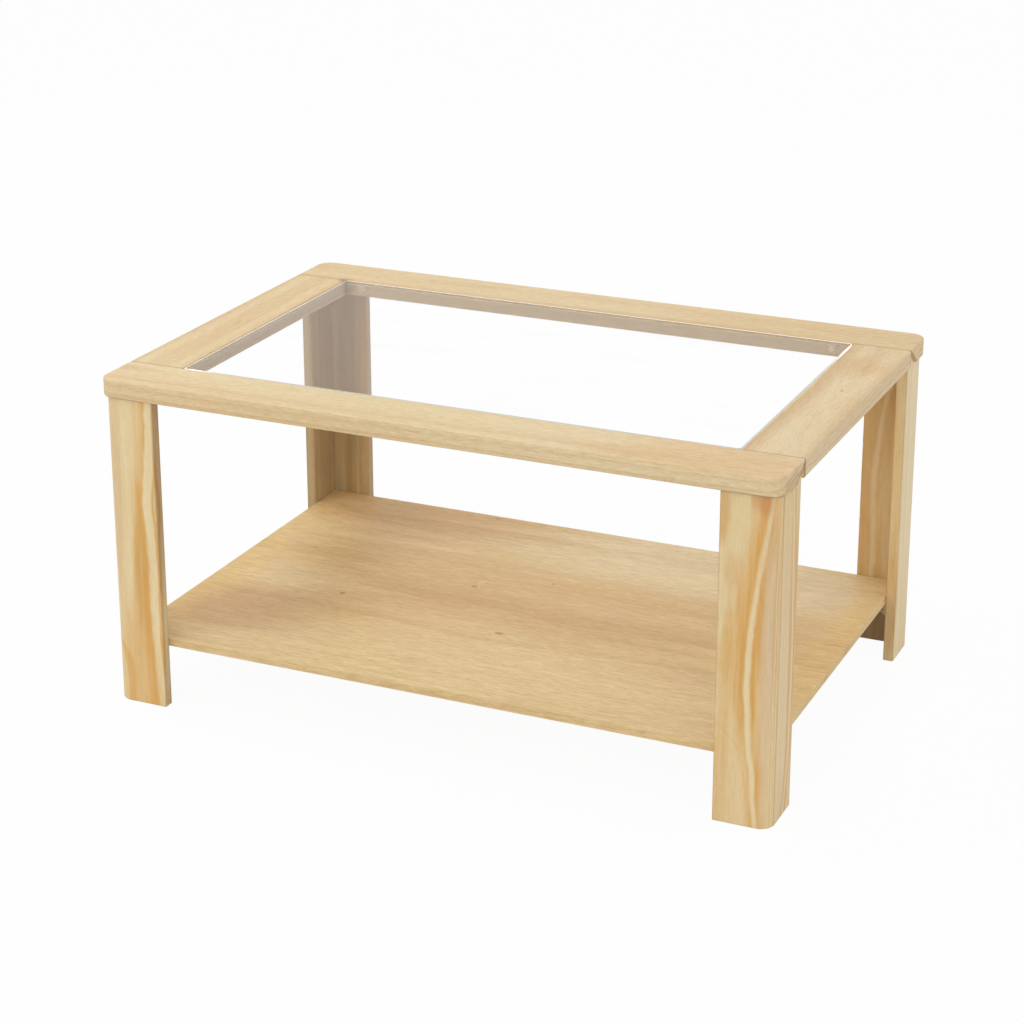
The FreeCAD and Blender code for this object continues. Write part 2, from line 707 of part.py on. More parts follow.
def shelf_screws():
    body = new_body("shelf_screws")
    sketch = new_sketch(body, "shelf_screw_profile", "XZ_Plane", INSET + SHELF_SCREW_PLACE - HALF_DEPTH,
                        HALF_LENGTH - INSET - SHELF_SCREW_PLACE, BLOCK_BASE + SHELF_SCREW_SINK)
    turned(body, "shelf_screw", sketch, screw_profile(BLOCK_HEIGHT - SHELF_SCREW_SINK + SHELF_SCREW_BITE))
    four_corners(body)


def glass_pins():
    body = new_body("glass_pins")
    sketch = new_sketch(body, "pin_profile", "XY_Plane", HEIGHT - RAIL / 2,
                        HALF_LENGTH - PIN_PLACE, HALF_DEPTH - RAIL_WIDTH - PIN_REACH)
    turned(body, "pin", sketch, peg_profile(PIN, PIN_BITE + PIN_REACH, size("pin_bevel")))
    four_corners(body)


def glass_pads():
    """Clear sleeves on the pins: round below, with a flat top that meets the glass."""
    body = new_body("glass_pads")
    radius = PIN / 2 + PAD_WALL
    rise = RAIL / 2 - GLASS
    nose = size("pad_round")
    sketch = new_sketch(body, "pad_profile", "XZ_Plane", RAIL_WIDTH + size("pad_stand_off") - HALF_DEPTH,
                        HALF_LENGTH - PIN_PLACE, HEIGHT - RAIL / 2)
    outline(sketch, (
        ((-radius, ZERO), (ZERO, ZERO)),
        ((ZERO, -radius), (ZERO, ZERO)),
        ((radius, ZERO),),
        ((radius, rise - nose), (radius - nose, rise - nose)),
        ((radius - nose, rise),),
        ((nose - radius, rise), (nose - radius, rise - nose)),
        ((-radius, rise - nose),),
    ))
    circles(sketch, [(ZERO, ZERO)], PIN + BORE_FIT)
    pad(body, "sleeve", sketch, PIN_REACH - size("pad_stand_off"))
    four_corners(body)


long_rail("front_rail", False)
long_rail("rear_rail", True)
short_rail("left_rail", False)
short_rail("right_rail", True)
glass_panel()
glass_pins()
glass_pads()
for corner, facing, corner_x, corner_y in CORNERS:
    wide_board(f"{corner}_leg_{facing}_board", corner_x, corner_y)
    side_board(f"{corner}_leg_side_board", corner_x, corner_y)
    shelf_block(f"{corner}_shelf_block", corner_x, corner_y)
shelf_panel()
rail_joint_dowels()
leg_head_dowels()
leg_side_dowels()
block_screws()
shelf_screws()
doc.recompute()

for item in doc.Objects:
    if "Invalid" in item.State or "Error" in item.State:
        raise RuntimeError(f"{item.Label}: {item.State}")
for piece in pieces:
    if piece.Shape.isNull() or not piece.Shape.isValid():
        raise RuntimeError(f"{piece.Label}: the shape is not valid")

os.makedirs("parts", exist_ok=True)
for piece in pieces:
    piece.Shape.exportStep(f"parts/{piece.Label}.step")
    print(f"{piece.Label}: {len(piece.Shape.Solids)} solid(s), {piece.Shape.Volume / 1000:.1f} cm3")
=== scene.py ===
"""Looks of a pine coffee table with a glass top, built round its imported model.

The table stands on the floor with its middle over the origin, +X along its
length to the right, +Y to the rear and +Z up. Every length is in metres.
"""
import logging
import math
from dataclasses import dataclass, field, replace
from enum import Enum
from typing import Union

import bpy
from mathutils import Matrix, Vector


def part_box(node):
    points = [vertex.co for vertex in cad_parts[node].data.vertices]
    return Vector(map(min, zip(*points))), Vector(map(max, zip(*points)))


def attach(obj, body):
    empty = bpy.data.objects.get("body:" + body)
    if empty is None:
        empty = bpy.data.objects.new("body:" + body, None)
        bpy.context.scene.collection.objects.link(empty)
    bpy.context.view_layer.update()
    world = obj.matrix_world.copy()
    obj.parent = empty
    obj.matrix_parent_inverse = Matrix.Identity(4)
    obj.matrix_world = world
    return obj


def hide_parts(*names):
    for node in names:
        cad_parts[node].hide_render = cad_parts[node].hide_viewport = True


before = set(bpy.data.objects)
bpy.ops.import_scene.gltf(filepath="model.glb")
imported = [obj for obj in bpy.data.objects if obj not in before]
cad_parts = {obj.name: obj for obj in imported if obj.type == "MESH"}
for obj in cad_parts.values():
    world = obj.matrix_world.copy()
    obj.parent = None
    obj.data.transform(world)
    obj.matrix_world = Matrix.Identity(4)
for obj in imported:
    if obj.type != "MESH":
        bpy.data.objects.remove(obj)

log = logging.getLogger("coffee_table")

Socket = bpy.types.NodeSocket
Inputs = bpy.types.NodeInputs
Outputs = bpy.types.NodeOutputs
Node = bpy.types.Node
Tree = bpy.types.NodeTree
Material = bpy.types.Material
Value = Union[float, tuple, Socket]
Colour = tuple[float, float, float]
Point = tuple[float, float, float]

ORIGIN: Point = (0.0, 0.0, 0.0)
RIGHT: Point = (1.0, 0.0, 0.0)
REAR: Point = (0.0, 1.0, 0.0)
UP: Point = (0.0, 0.0, 1.0)
BLACK: Colour = (0.0, 0.0, 0.0)
WHITE: Colour = (1.0, 1.0, 1.0)


def tint(code: str) -> Colour:
    """Turn a written colour into the renderer's own numbers.

    Args:
        code: Six hexadecimal digits, as a paint chart gives them.

    Returns:
        Red, green and blue on the linear scale.
    """
    parts = [int(code[place:place + 2], 16) / 255 for place in (0, 2, 4)]
    return tuple(part / 12.92 if part <= 0.04045 else ((part + 0.055) / 1.055) ** 2.4 for part in parts)


class Grain(Enum):
    """The way the grain of a board runs."""

    LENGTHWISE = "along the table"
    CROSSWISE = "from front to rear"
    UPRIGHT = "up and down"


class Corner(Enum):
    """The four corners of the table, with their signs along X and Y and the wide board's side."""

    FRONT_LEFT = (-1, -1, "front")
    FRONT_RIGHT = (1, -1, "front")
    REAR_RIGHT = (1, 1, "rear")
    REAR_LEFT = (-1, 1, "rear")

    @property
    def label(self) -> str:
        """The corner's name as the nodes of the model have it."""
        return self.name.lower()


@dataclass
class Net:
    """A node tree, with short ways to add its nodes and join them."""

    tree: Tree

    @staticmethod
    def of(owner: bpy.types.ID) -> "Net":
        """Empty the tree of a material or a world.

        Args:
            owner: The material or the world.

        Returns:
            Its tree as a Net.
        """
        owner.use_nodes = True
        owner.node_tree.nodes.clear()
        return Net(owner.node_tree)

    def put(self, socket: Socket, value: Value) -> None:
        """Give a socket a constant, or join another socket to it.

        Args:
            socket: The input to set.
            value: A number, a vector, a colour without its alpha, or an output.
        """
        if isinstance(value, Socket):
            self.tree.links.new(value, socket)
        elif socket.type == "RGBA" and len(value) == 3:
            socket.default_value = (*value, 1.0)
        else:
            socket.default_value = value

    def add(self, kind: str, inputs: dict | None = None, **settings: object) -> Node:
        """Add a node.

        Args:
            kind: The node's type name.
            inputs: Input name or number to a constant or a socket.
            **settings: The node's own properties.

        Returns:
            The new node.
        """
        node = self.tree.nodes.new(kind)
        for name, value in settings.items():
            setattr(node, name, value)
        for key, value in (inputs or {}).items():
            self.put(node.inputs[key], value)
        return node

    def group(self, tree: Tree, **inputs: Value) -> Outputs:
        """Place a node group. An input's underscores stand for the spaces in its name."""
        spaced = {key.replace("_", " "): value for key, value in inputs.items()}
        return self.add("ShaderNodeGroup", spaced, node_tree=tree).outputs

    def math(self, operation: str, one: Value, two: Value = 0.0, three: Value = 0.0, clamp: bool = False) -> Socket:
        """The result of a Math node."""
        return self.add("ShaderNodeMath", {0: one, 1: two, 2: three}, operation=operation, use_clamp=clamp).outputs[0]

    def times(self, one: Value, two: Value, plus: Value | None = None, clamp: bool = False) -> Socket:
        """One number times another, plus a third where it is given."""
        operation, three = ("MULTIPLY", 0.0) if plus is None else ("MULTIPLY_ADD", plus)
        return self.math(operation, one, two, three, clamp)

    def plus(self, one: Value, two: Value, clamp: bool = False) -> Socket:
        """One number plus another."""
        return self.math("ADD", one, two, clamp=clamp)

    def less(self, one: Value, two: Value) -> Socket:
        """One number less another."""
        return self.math("SUBTRACT", one, two)

    def over(self, one: Value, two: Value) -> Socket:
        """One number over another."""
        return self.math("DIVIDE", one, two)

    def above(self, one: Value, two: Value) -> Socket:
        """1 where one number is above another, otherwise 0."""
        return self.math("GREATER_THAN", one, two)

    def swing(self, noise: Value, width: float, plus: Value | None = None) -> Socket:
        """A noise as a swing to both sides of zero, plus a number where it is given."""
        return self.times(self.less(noise, 0.5), width, plus)

    def from_axis(self, x: Value, y: Value) -> Socket:
        """How far a place lies from the Z axis."""
        return self.math("SQRT", self.plus(self.times(x, x), self.times(y, y)))

    def vector(self, operation: str, one: Value, two: Value = ORIGIN, output: str = "Vector") -> Socket:
        """A result of a Vector Math node."""
        return self.add("ShaderNodeVectorMath", {0: one, 1: two}, operation=operation).outputs[output]

    def scaled(self, vector: Value, by: Value) -> Socket:
        """A vector or colour times one number."""
        return self.add("ShaderNodeVectorMath", {0: vector, "Scale": by}, operation="SCALE").outputs[0]

    def parts(self, vector: Value) -> tuple[Socket, Socket, Socket]:
        """The three parts of a vector."""
        return tuple(self.add("ShaderNodeSeparateXYZ", {0: vector}).outputs)

    def joined(self, x: Value = 0.0, y: Value = 0.0, z: Value = 0.0) -> Socket:
        """A vector from its three parts."""
        return self.add("ShaderNodeCombineXYZ", {0: x, 1: y, 2: z}).outputs[0]

    def blend(self, share: Value, one: Value, two: Value) -> Socket:
        """A colour between two others, by a share from 0 to 1."""
        return self.add("ShaderNodeMix", {0: share, 6: one, 7: two}, data_type="RGBA").outputs[2]

    def stained(self, colour: Value, mask: Value, share: float, stain: str) -> Socket:
        """A colour with a stain laid over it where a mask says."""
        return self.blend(self.times(mask, share), colour, tint(stain))

    def ramp(self, value: Value, low: Value, high: Value, to_low: Value = 0.0, to_high: Value = 1.0) -> Socket:
        """A smooth step from one level to another."""
        inputs = {"Value": value, "From Min": low, "From Max": high, "To Min": to_low, "To Max": to_high}
        return self.add("ShaderNodeMapRange", inputs, interpolation_type="SMOOTHSTEP").outputs[0]

    def fade(self, value: Value, low: Value, high: Value) -> Socket:
        """A smooth step down from 1 to 0."""
        return self.ramp(value, low, high, 1.0, 0.0)

    def noise(self, place: Value, scale: Value, detail: float = 2.0, rough: float = 0.5) -> Outputs:
        """Add a noise.

        Args:
            place: Where it is read.
            scale: Its repeats to the metre, along each axis or along all three.
            detail: How many finer layers it has.
            rough: How strongly they show.

        Returns:
            The node's outputs.
        """
        scales = (scale,) * 3 if isinstance(scale, float) else scale
        inputs = {"Vector": self.vector("MULTIPLY", place, scales), "Scale": 1.0, "Detail": detail, "Roughness": rough}
        return self.add("ShaderNodeTexNoise", inputs).outputs

    def place(self) -> Socket:
        """The place on the object."""
        return self.add("ShaderNodeTexCoord").outputs["Object"]

    def bump(self, height: Value, strength: float, depth: float) -> Socket:
        """A normal that follows a height."""
        return self.add("ShaderNodeBump", {"Strength": strength, "Distance": depth, "Height": height}).outputs[0]

    def show(self, shader: Node, output: str = "ShaderNodeOutputMaterial") -> None:
        """Join a shader to the output of its material or world."""
        self.put(self.add(output).inputs["Surface"], shader.outputs[0])


@dataclass
class GroupPlan:
    """A shader node group with named inputs and outputs."""

    name: str
    inputs: dict[str, Value]
    outputs: tuple[str, ...]

    def begin(self) -> tuple[Net, Outputs, Inputs]:
        """Make the empty group.

        Returns:
            Its tree as a Net, the sockets it is given and the sockets it gives out.
        """
        tree = bpy.data.node_groups.new(self.name, "ShaderNodeTree")
        for name, default in self.inputs.items():
            kind = "NodeSocketVector" if isinstance(default, tuple) else "NodeSocketFloat"
            tree.interface.new_socket(name, in_out="INPUT", socket_type=kind).default_value = default
        for name in self.outputs:
            tree.interface.new_socket(name, in_out="OUTPUT", socket_type="NodeSocketFloat")
        net = Net(tree)
        return net, net.add("NodeGroupInput").outputs, net.add("NodeGroupOutput").inputs


class WoodEffects:
    """The shader groups that all the wooden pieces share."""

    def __init__(self) -> None:
        """Build each group once."""
        self.rings = self.growth_rings()
        self.fibres = self.wood_fibres()
        self.flame = self.flame_bands()
        self.wear = self.arris_wear()
        self.speck = self.small_speck()
        self.patch = self.soft_patch()
        self.seam = self.seam_line()

    @staticmethod
    def growth_rings() -> Tree:
        """Rings round a heart that runs along Z, bent a little on the way.

        Returns:
            A group that puts out the dark late wood of each ring.
        """
        sideways, unevenness, palest = (2.0, 2.0, 0.0), 1.6, 0.3
        net, given, result = GroupPlan("growth_rings", {
            "Place": ORIGIN, "Heart": ORIGIN, "Ring Width": 0.008, "Sway": 0.004, "Seed": 0.0}, ("Late",)).begin()
        moved = net.vector("ADD", given["Place"], net.joined(x=given["Seed"], z=given["Seed"]))
        bend = net.noise(moved, scale=(5.0, 5.0, 2.2))["Color"]
        bend = net.vector("MULTIPLY", net.vector("SUBTRACT", bend, (0.5, 0.5, 0.5)), sideways)
        bent = net.vector("ADD", given["Place"], net.scaled(bend, given["Sway"]))
        x, y, _ = net.parts(net.vector("SUBTRACT", bent, given["Heart"]))
        count = net.over(net.from_axis(x, y), given["Ring Width"])
        uneven = net.add("ShaderNodeTexNoise", {"W": net.plus(count, given["Seed"]), "Scale": 0.37},
                         noise_dimensions="1D").outputs[0]
        count = net.plus(count, net.times(uneven, unevenness))
        phase = net.math("FRACT", count)
        late = net.times(net.ramp(phase, 0.25, 0.86), net.fade(phase, 0.9, 1.0))
        tone = net.add("ShaderNodeTexWhiteNoise", {"W": net.math("FLOOR", count)}, noise_dimensions="1D").outputs[0]
        net.put(result["Late"], net.times(late, net.plus(palest, tone)))
        return net.tree

    @staticmethod
    def wood_fibres() -> Tree:
        """Fine fibres, streaks of a few millimetres, broad bands and short open pores along Z.

        Returns:
            A group with one mask for each of them.
        """
        net, given, result = GroupPlan("wood_fibres", {
            "Place": ORIGIN, "Seed": 0.0, "Streak Scale": (240.0, 240.0, 62.0)},
            ("Fine", "Streak", "Broad", "Pores")).begin()
        place = net.vector("ADD", given["Place"], net.joined(given["Seed"], given["Seed"], given["Seed"]))
        for name, scale, detail, rough, low, high in (
                ("Fine", (620.0, 620.0, 30.0), 3.0, 0.6, 0.3, 0.7),
                ("Streak", given["Streak Scale"], 3.0, 0.68, 0.28, 0.72),
                ("Broad", (42.0, 42.0, 3.4), 3.0, 0.55, 0.3, 0.7),
                ("Pores", (560.0, 560.0, 80.0), 1.0, 0.5, 0.6, 0.72)):
            net.put(result[name], net.ramp(net.noise(place, scale, detail, rough)[0], low, high))
        return net.tree

    @staticmethod
    def flame_bands() -> Tree:
        """Two warm bands with a pale gap between them, which fade on their outer sides.

        Returns:
            A group that puts out the warm bands and the pale gap.
        """
        thinnest, fraying = 0.0001, 0.9
        net, given, result = GroupPlan("flame_bands", {
            "Across": 0.0, "Path": 0.0, "Gap": 0.006, "Near Band": 0.012, "Far Band": 0.012, "Fray": 0.5},
            ("Warm", "Pale")).begin()
        half = net.times(given["Gap"], 0.5)
        off = net.less(given["Across"], given["Path"])
        bands = []
        for sign, width in ((-1.0, "Near Band"), (1.0, "Far Band")):
            beyond = net.less(net.times(off, sign), half)
            inside = net.ramp(beyond, -0.0016, 0.0022)
            share = net.over(beyond, net.math("MAXIMUM", given[width], thinnest))
            share = net.plus(share, net.swing(given["Fray"], fraying))
            bands.append(net.times(inside, net.fade(share, 0.1, 1.3)))
        away = net.less(net.math("ABSOLUTE", off), half)
        net.put(result["Warm"], net.plus(*bands, clamp=True))
        net.put(result["Pale"], net.fade(away, -0.0022, 0.0012))
        return net.tree

    @staticmethod
    def arris_wear() -> Tree:
        """The handled arrises of a board, worked out from its box.

        Returns:
            A group that puts out a mask that is 1 on the arris.
        """
        narrowest = 0.4
        net, given, result = GroupPlan("arris_wear", {
            "Place": ORIGIN, "Middle": ORIGIN, "Half Size": (0.1, 0.1, 0.1), "Width": 0.0025}, ("Wear",)).begin()
        off = net.vector("ABSOLUTE", net.vector("SUBTRACT", given["Place"], given["Middle"]))
        x, y, z = net.parts(net.vector("SUBTRACT", given["Half Size"], off))
        lower, upper = net.math("MINIMUM", x, y), net.math("MAXIMUM", x, y)
        second = net.math("MAXIMUM", lower, net.math("MINIMUM", upper, z))
        width = net.times(given["Width"], net.plus(narrowest, net.noise(given["Place"], 60.0)[0]))
        net.put(result["Wear"], net.fade(net.over(second, width), 0.2, 1.0))
        return net.tree

    @staticmethod
    def small_speck() -> Tree:
        """A small dark speck with a ragged rim.

        Returns:
            A group that puts out a mask that is 1 in the speck.
        """
        net, given, result = GroupPlan("small_speck", {
            "Place": ORIGIN, "Spot": ORIGIN, "Size": (0.004, 0.002, 0.002)}, ("Speck",)).begin()
        off = net.vector("DIVIDE", net.vector("SUBTRACT", given["Place"], given["Spot"]), given["Size"])
        ragged = net.vector("SUBTRACT", net.noise(given["Place"], 300.0)["Color"], (0.5, 0.5, 0.5))
        away = net.vector("LENGTH", net.vector("ADD", off, ragged), output="Value")
        net.put(result["Speck"], net.fade(away, 0.3, 1.1))
        return net.tree

    @staticmethod
    def soft_patch() -> Tree:
        """A wide patch whose rim runs out into the fibres.

        Returns:
            A group that puts out a mask that is 1 in the patch.
        """
        fraying = 0.5
        net, given, result = GroupPlan("soft_patch", {
            "Place": ORIGIN, "Middle": ORIGIN, "Reach": (0.1, 0.1, 0.1), "Fray": 0.5}, ("Patch",)).begin()
        off = net.vector("DIVIDE", net.vector("SUBTRACT", given["Place"], given["Middle"]), given["Reach"])
        away = net.plus(net.vector("LENGTH", off, output="Value"), net.swing(given["Fray"], fraying))
        net.put(result["Patch"], net.fade(away, 0.45, 1.25))
        return net.tree

    @staticmethod
    def seam_line() -> Tree:
        """The dark line where two boards meet in a plane that leans along Y.

        Returns:
            A group that puts out a mask that is 1 in the seam, at all four corners of the table.
        """
        net, given, result = GroupPlan("seam_line", {
            "Place": ORIGIN, "Foot": ORIGIN, "Normal": REAR, "Reach": 0.0, "Width": 0.0007}, ("Seam",)).begin()
        place = net.vector("ABSOLUTE", given["Place"])
        off = net.vector("SUBTRACT", place, given["Foot"])
        away = net.math("ABSOLUTE", net.vector("DOT_PRODUCT", off, given["Normal"], output="Value"))
        line = net.fade(net.over(away, given["Width"]), 0.6, 1.3)
        net.put(result["Seam"], net.times(line, net.above(net.parts(place)[0], given["Reach"])))
        return net.tree


@dataclass(frozen=True)
class Speck:
    """A small mark in the wood at one spot."""

    spot: Point
    size: Point
    depth: float
    colour: str = "965A34"


@dataclass(frozen=True)
class Patch:
    """A wide, soft change of colour in a board. Some patches are the wood's own tone, and some are painted light or
    painted shade.
    """

    middle: Point
    reach: Point
    colour: str
    share: float


@dataclass(frozen=True)
class PaintedShade:
    """Painted shade on the faces of a board that lie nearer to the middle than a place along one axis."""

    axis: int
    place: float
    colour: str
    share: float

    RIM = 0.0008


@dataclass(frozen=True)
class Seam:
    """A dark joint line beyond a reach along X. Its plane is given for the corner with both signs positive."""

    foot: Point
    normal: Point
    reach: float
    width: float
    depth: float

    COLOUR = "7C4A2E"


@dataclass(frozen=True)
class Flame:
    """A flame figure on one face of a leg.

    The path is how far the pale gap runs from the leg's outer corner, in
    millimetres, for heights in millimetres. On the wide face it counts along
    the front or the rear, and on the side face round the corner.
    """

    path: tuple[tuple[float, float], ...]
    strength: float
    on_wide_face: bool = True
    gap: float = 0.006
    near_band: float = 0.012
    far_band: float = 0.012

    LOWEST = -30.0
    SPAN = 200.0
    PALE = "EFDDB2"
    PALE_SHARE = 0.3

    def curve(self, net: Net, share: Socket) -> Socket:
        """The path as a curve over the leg's height.

        Args:
            net: The material's tree.
            share: The height over the floor, as a share of the leg's.

        Returns:
            How far the gap lies from the corner, in metres.
        """
        node = net.add("ShaderNodeFloatCurve", {"Value": share})
        line = node.mapping.curves[0].points
        spots = [(level / Leg.HEIGHT / 1000, (way - self.LOWEST) / self.SPAN) for level, way in self.path]
        line[0].location, line[1].location = spots[0], spots[-1]
        for spot in spots[1:-1]:
            line.new(*spot)
        node.mapping.update()
        return net.times(node.outputs[0], self.SPAN / 1000, plus=self.LOWEST / 1000)


@dataclass
class Board:
    """What a pine finish is laid on: the tree, the shared groups, the places and the fibres."""

    net: Net
    effects: WoodEffects
    place: Socket
    along: Socket
    fibres: Outputs


@dataclass(frozen=True)
class PineFinish:
    """Clear satin lacquer on pine. One board, or both boards of a leg, share a finish."""

    grain: Grain
    pale: str
    warm: str
    late: str
    blush: str
    blush_share: float = 0.5
    heart: Point = ORIGIN
    seed: float = 0.0
    ring_width: float = 0.009
    sway: float = 0.005
    ring_strength: float = 0.35
    fine: float = 0.06
    streak: float = 0.15
    streak_scale: Point = (240.0, 240.0, 62.0)
    broad: float = 0.05
    arris: str = "EBD6A8"
    arris_share: float = 0.2
    corner: Corner | None = None
    flames: tuple[Flame, ...] = ()
    patches: tuple[Patch, ...] = ()
    specks: tuple[Speck, ...] = ()
    seams: tuple[Seam, ...] = ()
    # shade, inner_shade and edge_shade lay painted shade: on the inner faces of rails and legs, and on the edges of the
    # leg boards.
    shade: PaintedShade | None = None
    inner_shade: float = 0.0
    edge_shade: float = 0.0

    WARM_SHARE = 0.5
    FIBRE_TONE = (0.8, 1.03, 1.5)
    PORE_SHARE = 0.55
    # Colour of the painted shade on a leg's inner faces and board edges.
    LEG_PAINTED_SHADE = "54381E"
    ROUGHNESS = 0.46
    FIBRE_DULLNESS = 0.08
    WEAR_GLOSS = 0.07
    FIBRE_RISE = 0.4
    RING_RISE = 0.6
    BUMP = (0.2, 0.00015)
    REFRACTION = 1.35
    COAT = 0.04
    COAT_ROUGHNESS = 0.25

    def along_grain(self, net: Net, place: Socket) -> Socket:
        """Turn the place so that the grain runs along Z.

        Args:
            net: The material's tree.
            place: The place on the object.

        Returns:
            The turned place, counted from the outer corner on a leg.
        """
        if self.corner is not None:
            x_sign, y_sign, _ = self.corner.value
            inputs = {"Vector": place, "Location": (Leg.CORNER_X, Leg.CORNER_Y, 0.0), "Scale": (-x_sign, -y_sign, 1.0)}
            return net.add("ShaderNodeMapping", inputs).outputs[0]
        x, y, z = net.parts(place)
        return net.joined(y, z, x) if self.grain is Grain.LENGTHWISE else net.joined(x, z, y)

    def plain_wood(self, board: Board) -> tuple[Socket, Socket]:
        """The broad changes of colour and the growth rings.

        Args:
            board: What the finish is laid on.

        Returns:
            The colour, and the mask of the rings' late wood.
        """
        net = board.net
        rings = net.group(board.effects.rings, Place=board.along, Heart=self.heart, Ring_Width=self.ring_width,
                          Sway=self.sway, Seed=self.seed)["Late"]
        changes = net.noise(net.vector("ADD", board.along, (self.seed,) * 3), (11.0, 11.0, 2.4), detail=3.0)
        warmth = net.times(net.ramp(changes[0], 0.32, 0.68), self.WARM_SHARE)
        colour = net.blend(warmth, tint(self.pale), tint(self.warm))
        flush = net.ramp(net.parts(changes["Color"])[2], 0.35, 0.7)
        colour = net.stained(colour, flush, self.blush_share, self.blush)
        ring = net.times(rings, self.ring_strength, clamp=True)
        return net.blend(ring, colour, tint(self.late)), ring

    def flamed(self, board: Board, colour: Socket) -> Socket:
        """Lay the flame figures over a leg's plain wood.

        Args:
            board: What the finish is laid on.
            colour: The wood's colour so far.

        Returns:
            The colour with the flames.
        """
        ripple, fringe, strand_share, least_body = 0.011, 0.0012, 0.4, 0.62
        net = board.net
        x, y, z = net.parts(board.along)
        share = net.over(z, Leg.HEIGHT)
        shift = net.swing(net.noise(board.along, (24.0, 24.0, 9.0), detail=3.0)[0], ripple)
        shift = net.swing(board.fibres["Streak"], fringe, plus=shift)
        round_corner = net.plus(net.less(x, y), shift)
        strands = net.noise(board.along, (170.0, 170.0, 6.0), detail=3.0, rough=0.6)[0]
        body = net.times(net.ramp(strands, 0.34, 0.62), strand_share, plus=least_body)
        for flame in self.flames:
            across = round_corner if flame.on_wide_face else net.times(round_corner, -1.0)
            bands = net.group(board.effects.flame, Across=across, Path=flame.curve(net, share), Gap=flame.gap,
                              Near_Band=flame.near_band, Far_Band=flame.far_band, Fray=board.fibres["Broad"])
            warm = net.times(net.times(bands["Warm"], body), flame.strength, clamp=True)
            colour = net.blend(warm, colour, tint(self.late))
            colour = net.stained(colour, bands["Pale"], flame.PALE_SHARE * flame.strength, flame.PALE)
        return colour

    def patched(self, board: Board, colour: Socket) -> Socket:
        """Lay the wide patches, some of them painted light or painted shade, and the painted shade of the darker faces
        over the wood.

        Args:
            board: What the finish is laid on.
            colour: The wood's colour so far.

        Returns:
            The colour with the patches and the painted shade.
        """
        net = board.net
        for patch in self.patches:
            mask = net.group(board.effects.patch, Place=board.place, Middle=patch.middle, Reach=patch.reach,
                             Fray=board.fibres["Broad"])["Patch"]
            colour = net.stained(colour, mask, patch.share, patch.colour)
        # Painted shade on the faces nearer the middle than the shade's place.
        if self.shade is not None:
            shade = self.shade
            depth = net.math("ABSOLUTE", net.parts(board.place)[shade.axis])
            inner = net.ramp(depth, shade.place, shade.place + shade.RIM, shade.share, 0.0)
            colour = net.blend(inner, colour, tint(shade.colour))
        # Painted shade on a leg's inner faces and on its boards' edges.
        if self.corner is not None:
            x, y, _ = net.parts(board.along)
            inner = net.ramp(net.math("MINIMUM", x, y), *Leg.INNER_FACE, 0.0, self.inner_shade)
            edge = net.ramp(net.math("MAXIMUM", x, y), *Leg.BOARD_EDGE, 0.0, self.edge_shade)
            colour = net.blend(net.math("MAXIMUM", inner, edge), colour, tint(self.LEG_PAINTED_SHADE))
        return colour

    def marked(self, board: Board, colour: Socket) -> Socket:
        """Add the specks and the seams.

        Args:
            board: What the finish is laid on.
            colour: The wood's colour so far.

        Returns:
            The colour with the marks.
        """
        net, effects = board.net, board.effects
        for speck in self.specks:
            mark = net.group(effects.speck, Place=board.place, Spot=speck.spot, Size=speck.size)["Speck"]
            colour = net.stained(colour, mark, speck.depth, speck.colour)
        for seam in self.seams:
            line = net.group(effects.seam, Place=board.place, Foot=seam.foot, Normal=seam.normal, Reach=seam.reach,
                             Width=seam.width)["Seam"]
            colour = net.stained(colour, line, seam.depth, seam.COLOUR)
        return colour

    def material(self, name: str, effects: WoodEffects, box: tuple[Vector, Vector]) -> Material:
        """Make the finish for one piece.

        Args:
            name: The material's name.
            effects: The shared groups.
            box: The piece's lowest and highest corner, for the wear of its arrises.

        Returns:
            The material.
        """
        material = bpy.data.materials.new(name)
        net = Net.of(material)
        place = net.place()
        along = self.along_grain(net, place)
        fibres = net.group(effects.fibres, Place=along, Seed=self.seed, Streak_Scale=self.streak_scale)
        board = Board(net, effects, place, along, fibres)
        colour, ring = self.plain_wood(board)
        if self.flames:
            colour = self.flamed(board, colour)
        colour = self.patched(board, colour)
        level: Value = -(self.fine + self.streak + self.broad) / 2
        for mask, amount in (("Fine", self.fine), ("Streak", self.streak), ("Broad", self.broad),
                             ("Pores", -self.streak * self.PORE_SHARE)):
            level = net.times(fibres[mask], amount, plus=level)
        tone = net.vector("ADD", net.scaled(self.FIBRE_TONE, level), WHITE)
        colour = self.marked(board, net.vector("MULTIPLY", colour, tone))
        low, high = box
        wear = net.group(effects.wear, Place=place, Middle=tuple((low + high) / 2),
                         Half_Size=tuple((high - low) / 2))["Wear"]
        rough = net.times(fibres["Fine"], self.FIBRE_DULLNESS, plus=self.ROUGHNESS)
        height = net.times(fibres["Fine"], self.FIBRE_RISE, plus=net.times(ring, self.RING_RISE))
        net.show(net.add("ShaderNodeBsdfPrincipled", {
            "Base Color": net.stained(colour, wear, self.arris_share, self.arris),
            "Roughness": net.times(wear, -self.WEAR_GLOSS, plus=rough),
            "Normal": net.bump(net.less(height, fibres["Pores"]), *self.BUMP),
            "IOR": self.REFRACTION, "Coat Weight": self.COAT, "Coat Roughness": self.COAT_ROUGHNESS}))
        return material

    def lay(self, node: str, name: str, effects: WoodEffects) -> None:
        """Dress a piece of the model with the finish, under a material's name."""
        dress(node, self.material(name, effects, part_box(node)))


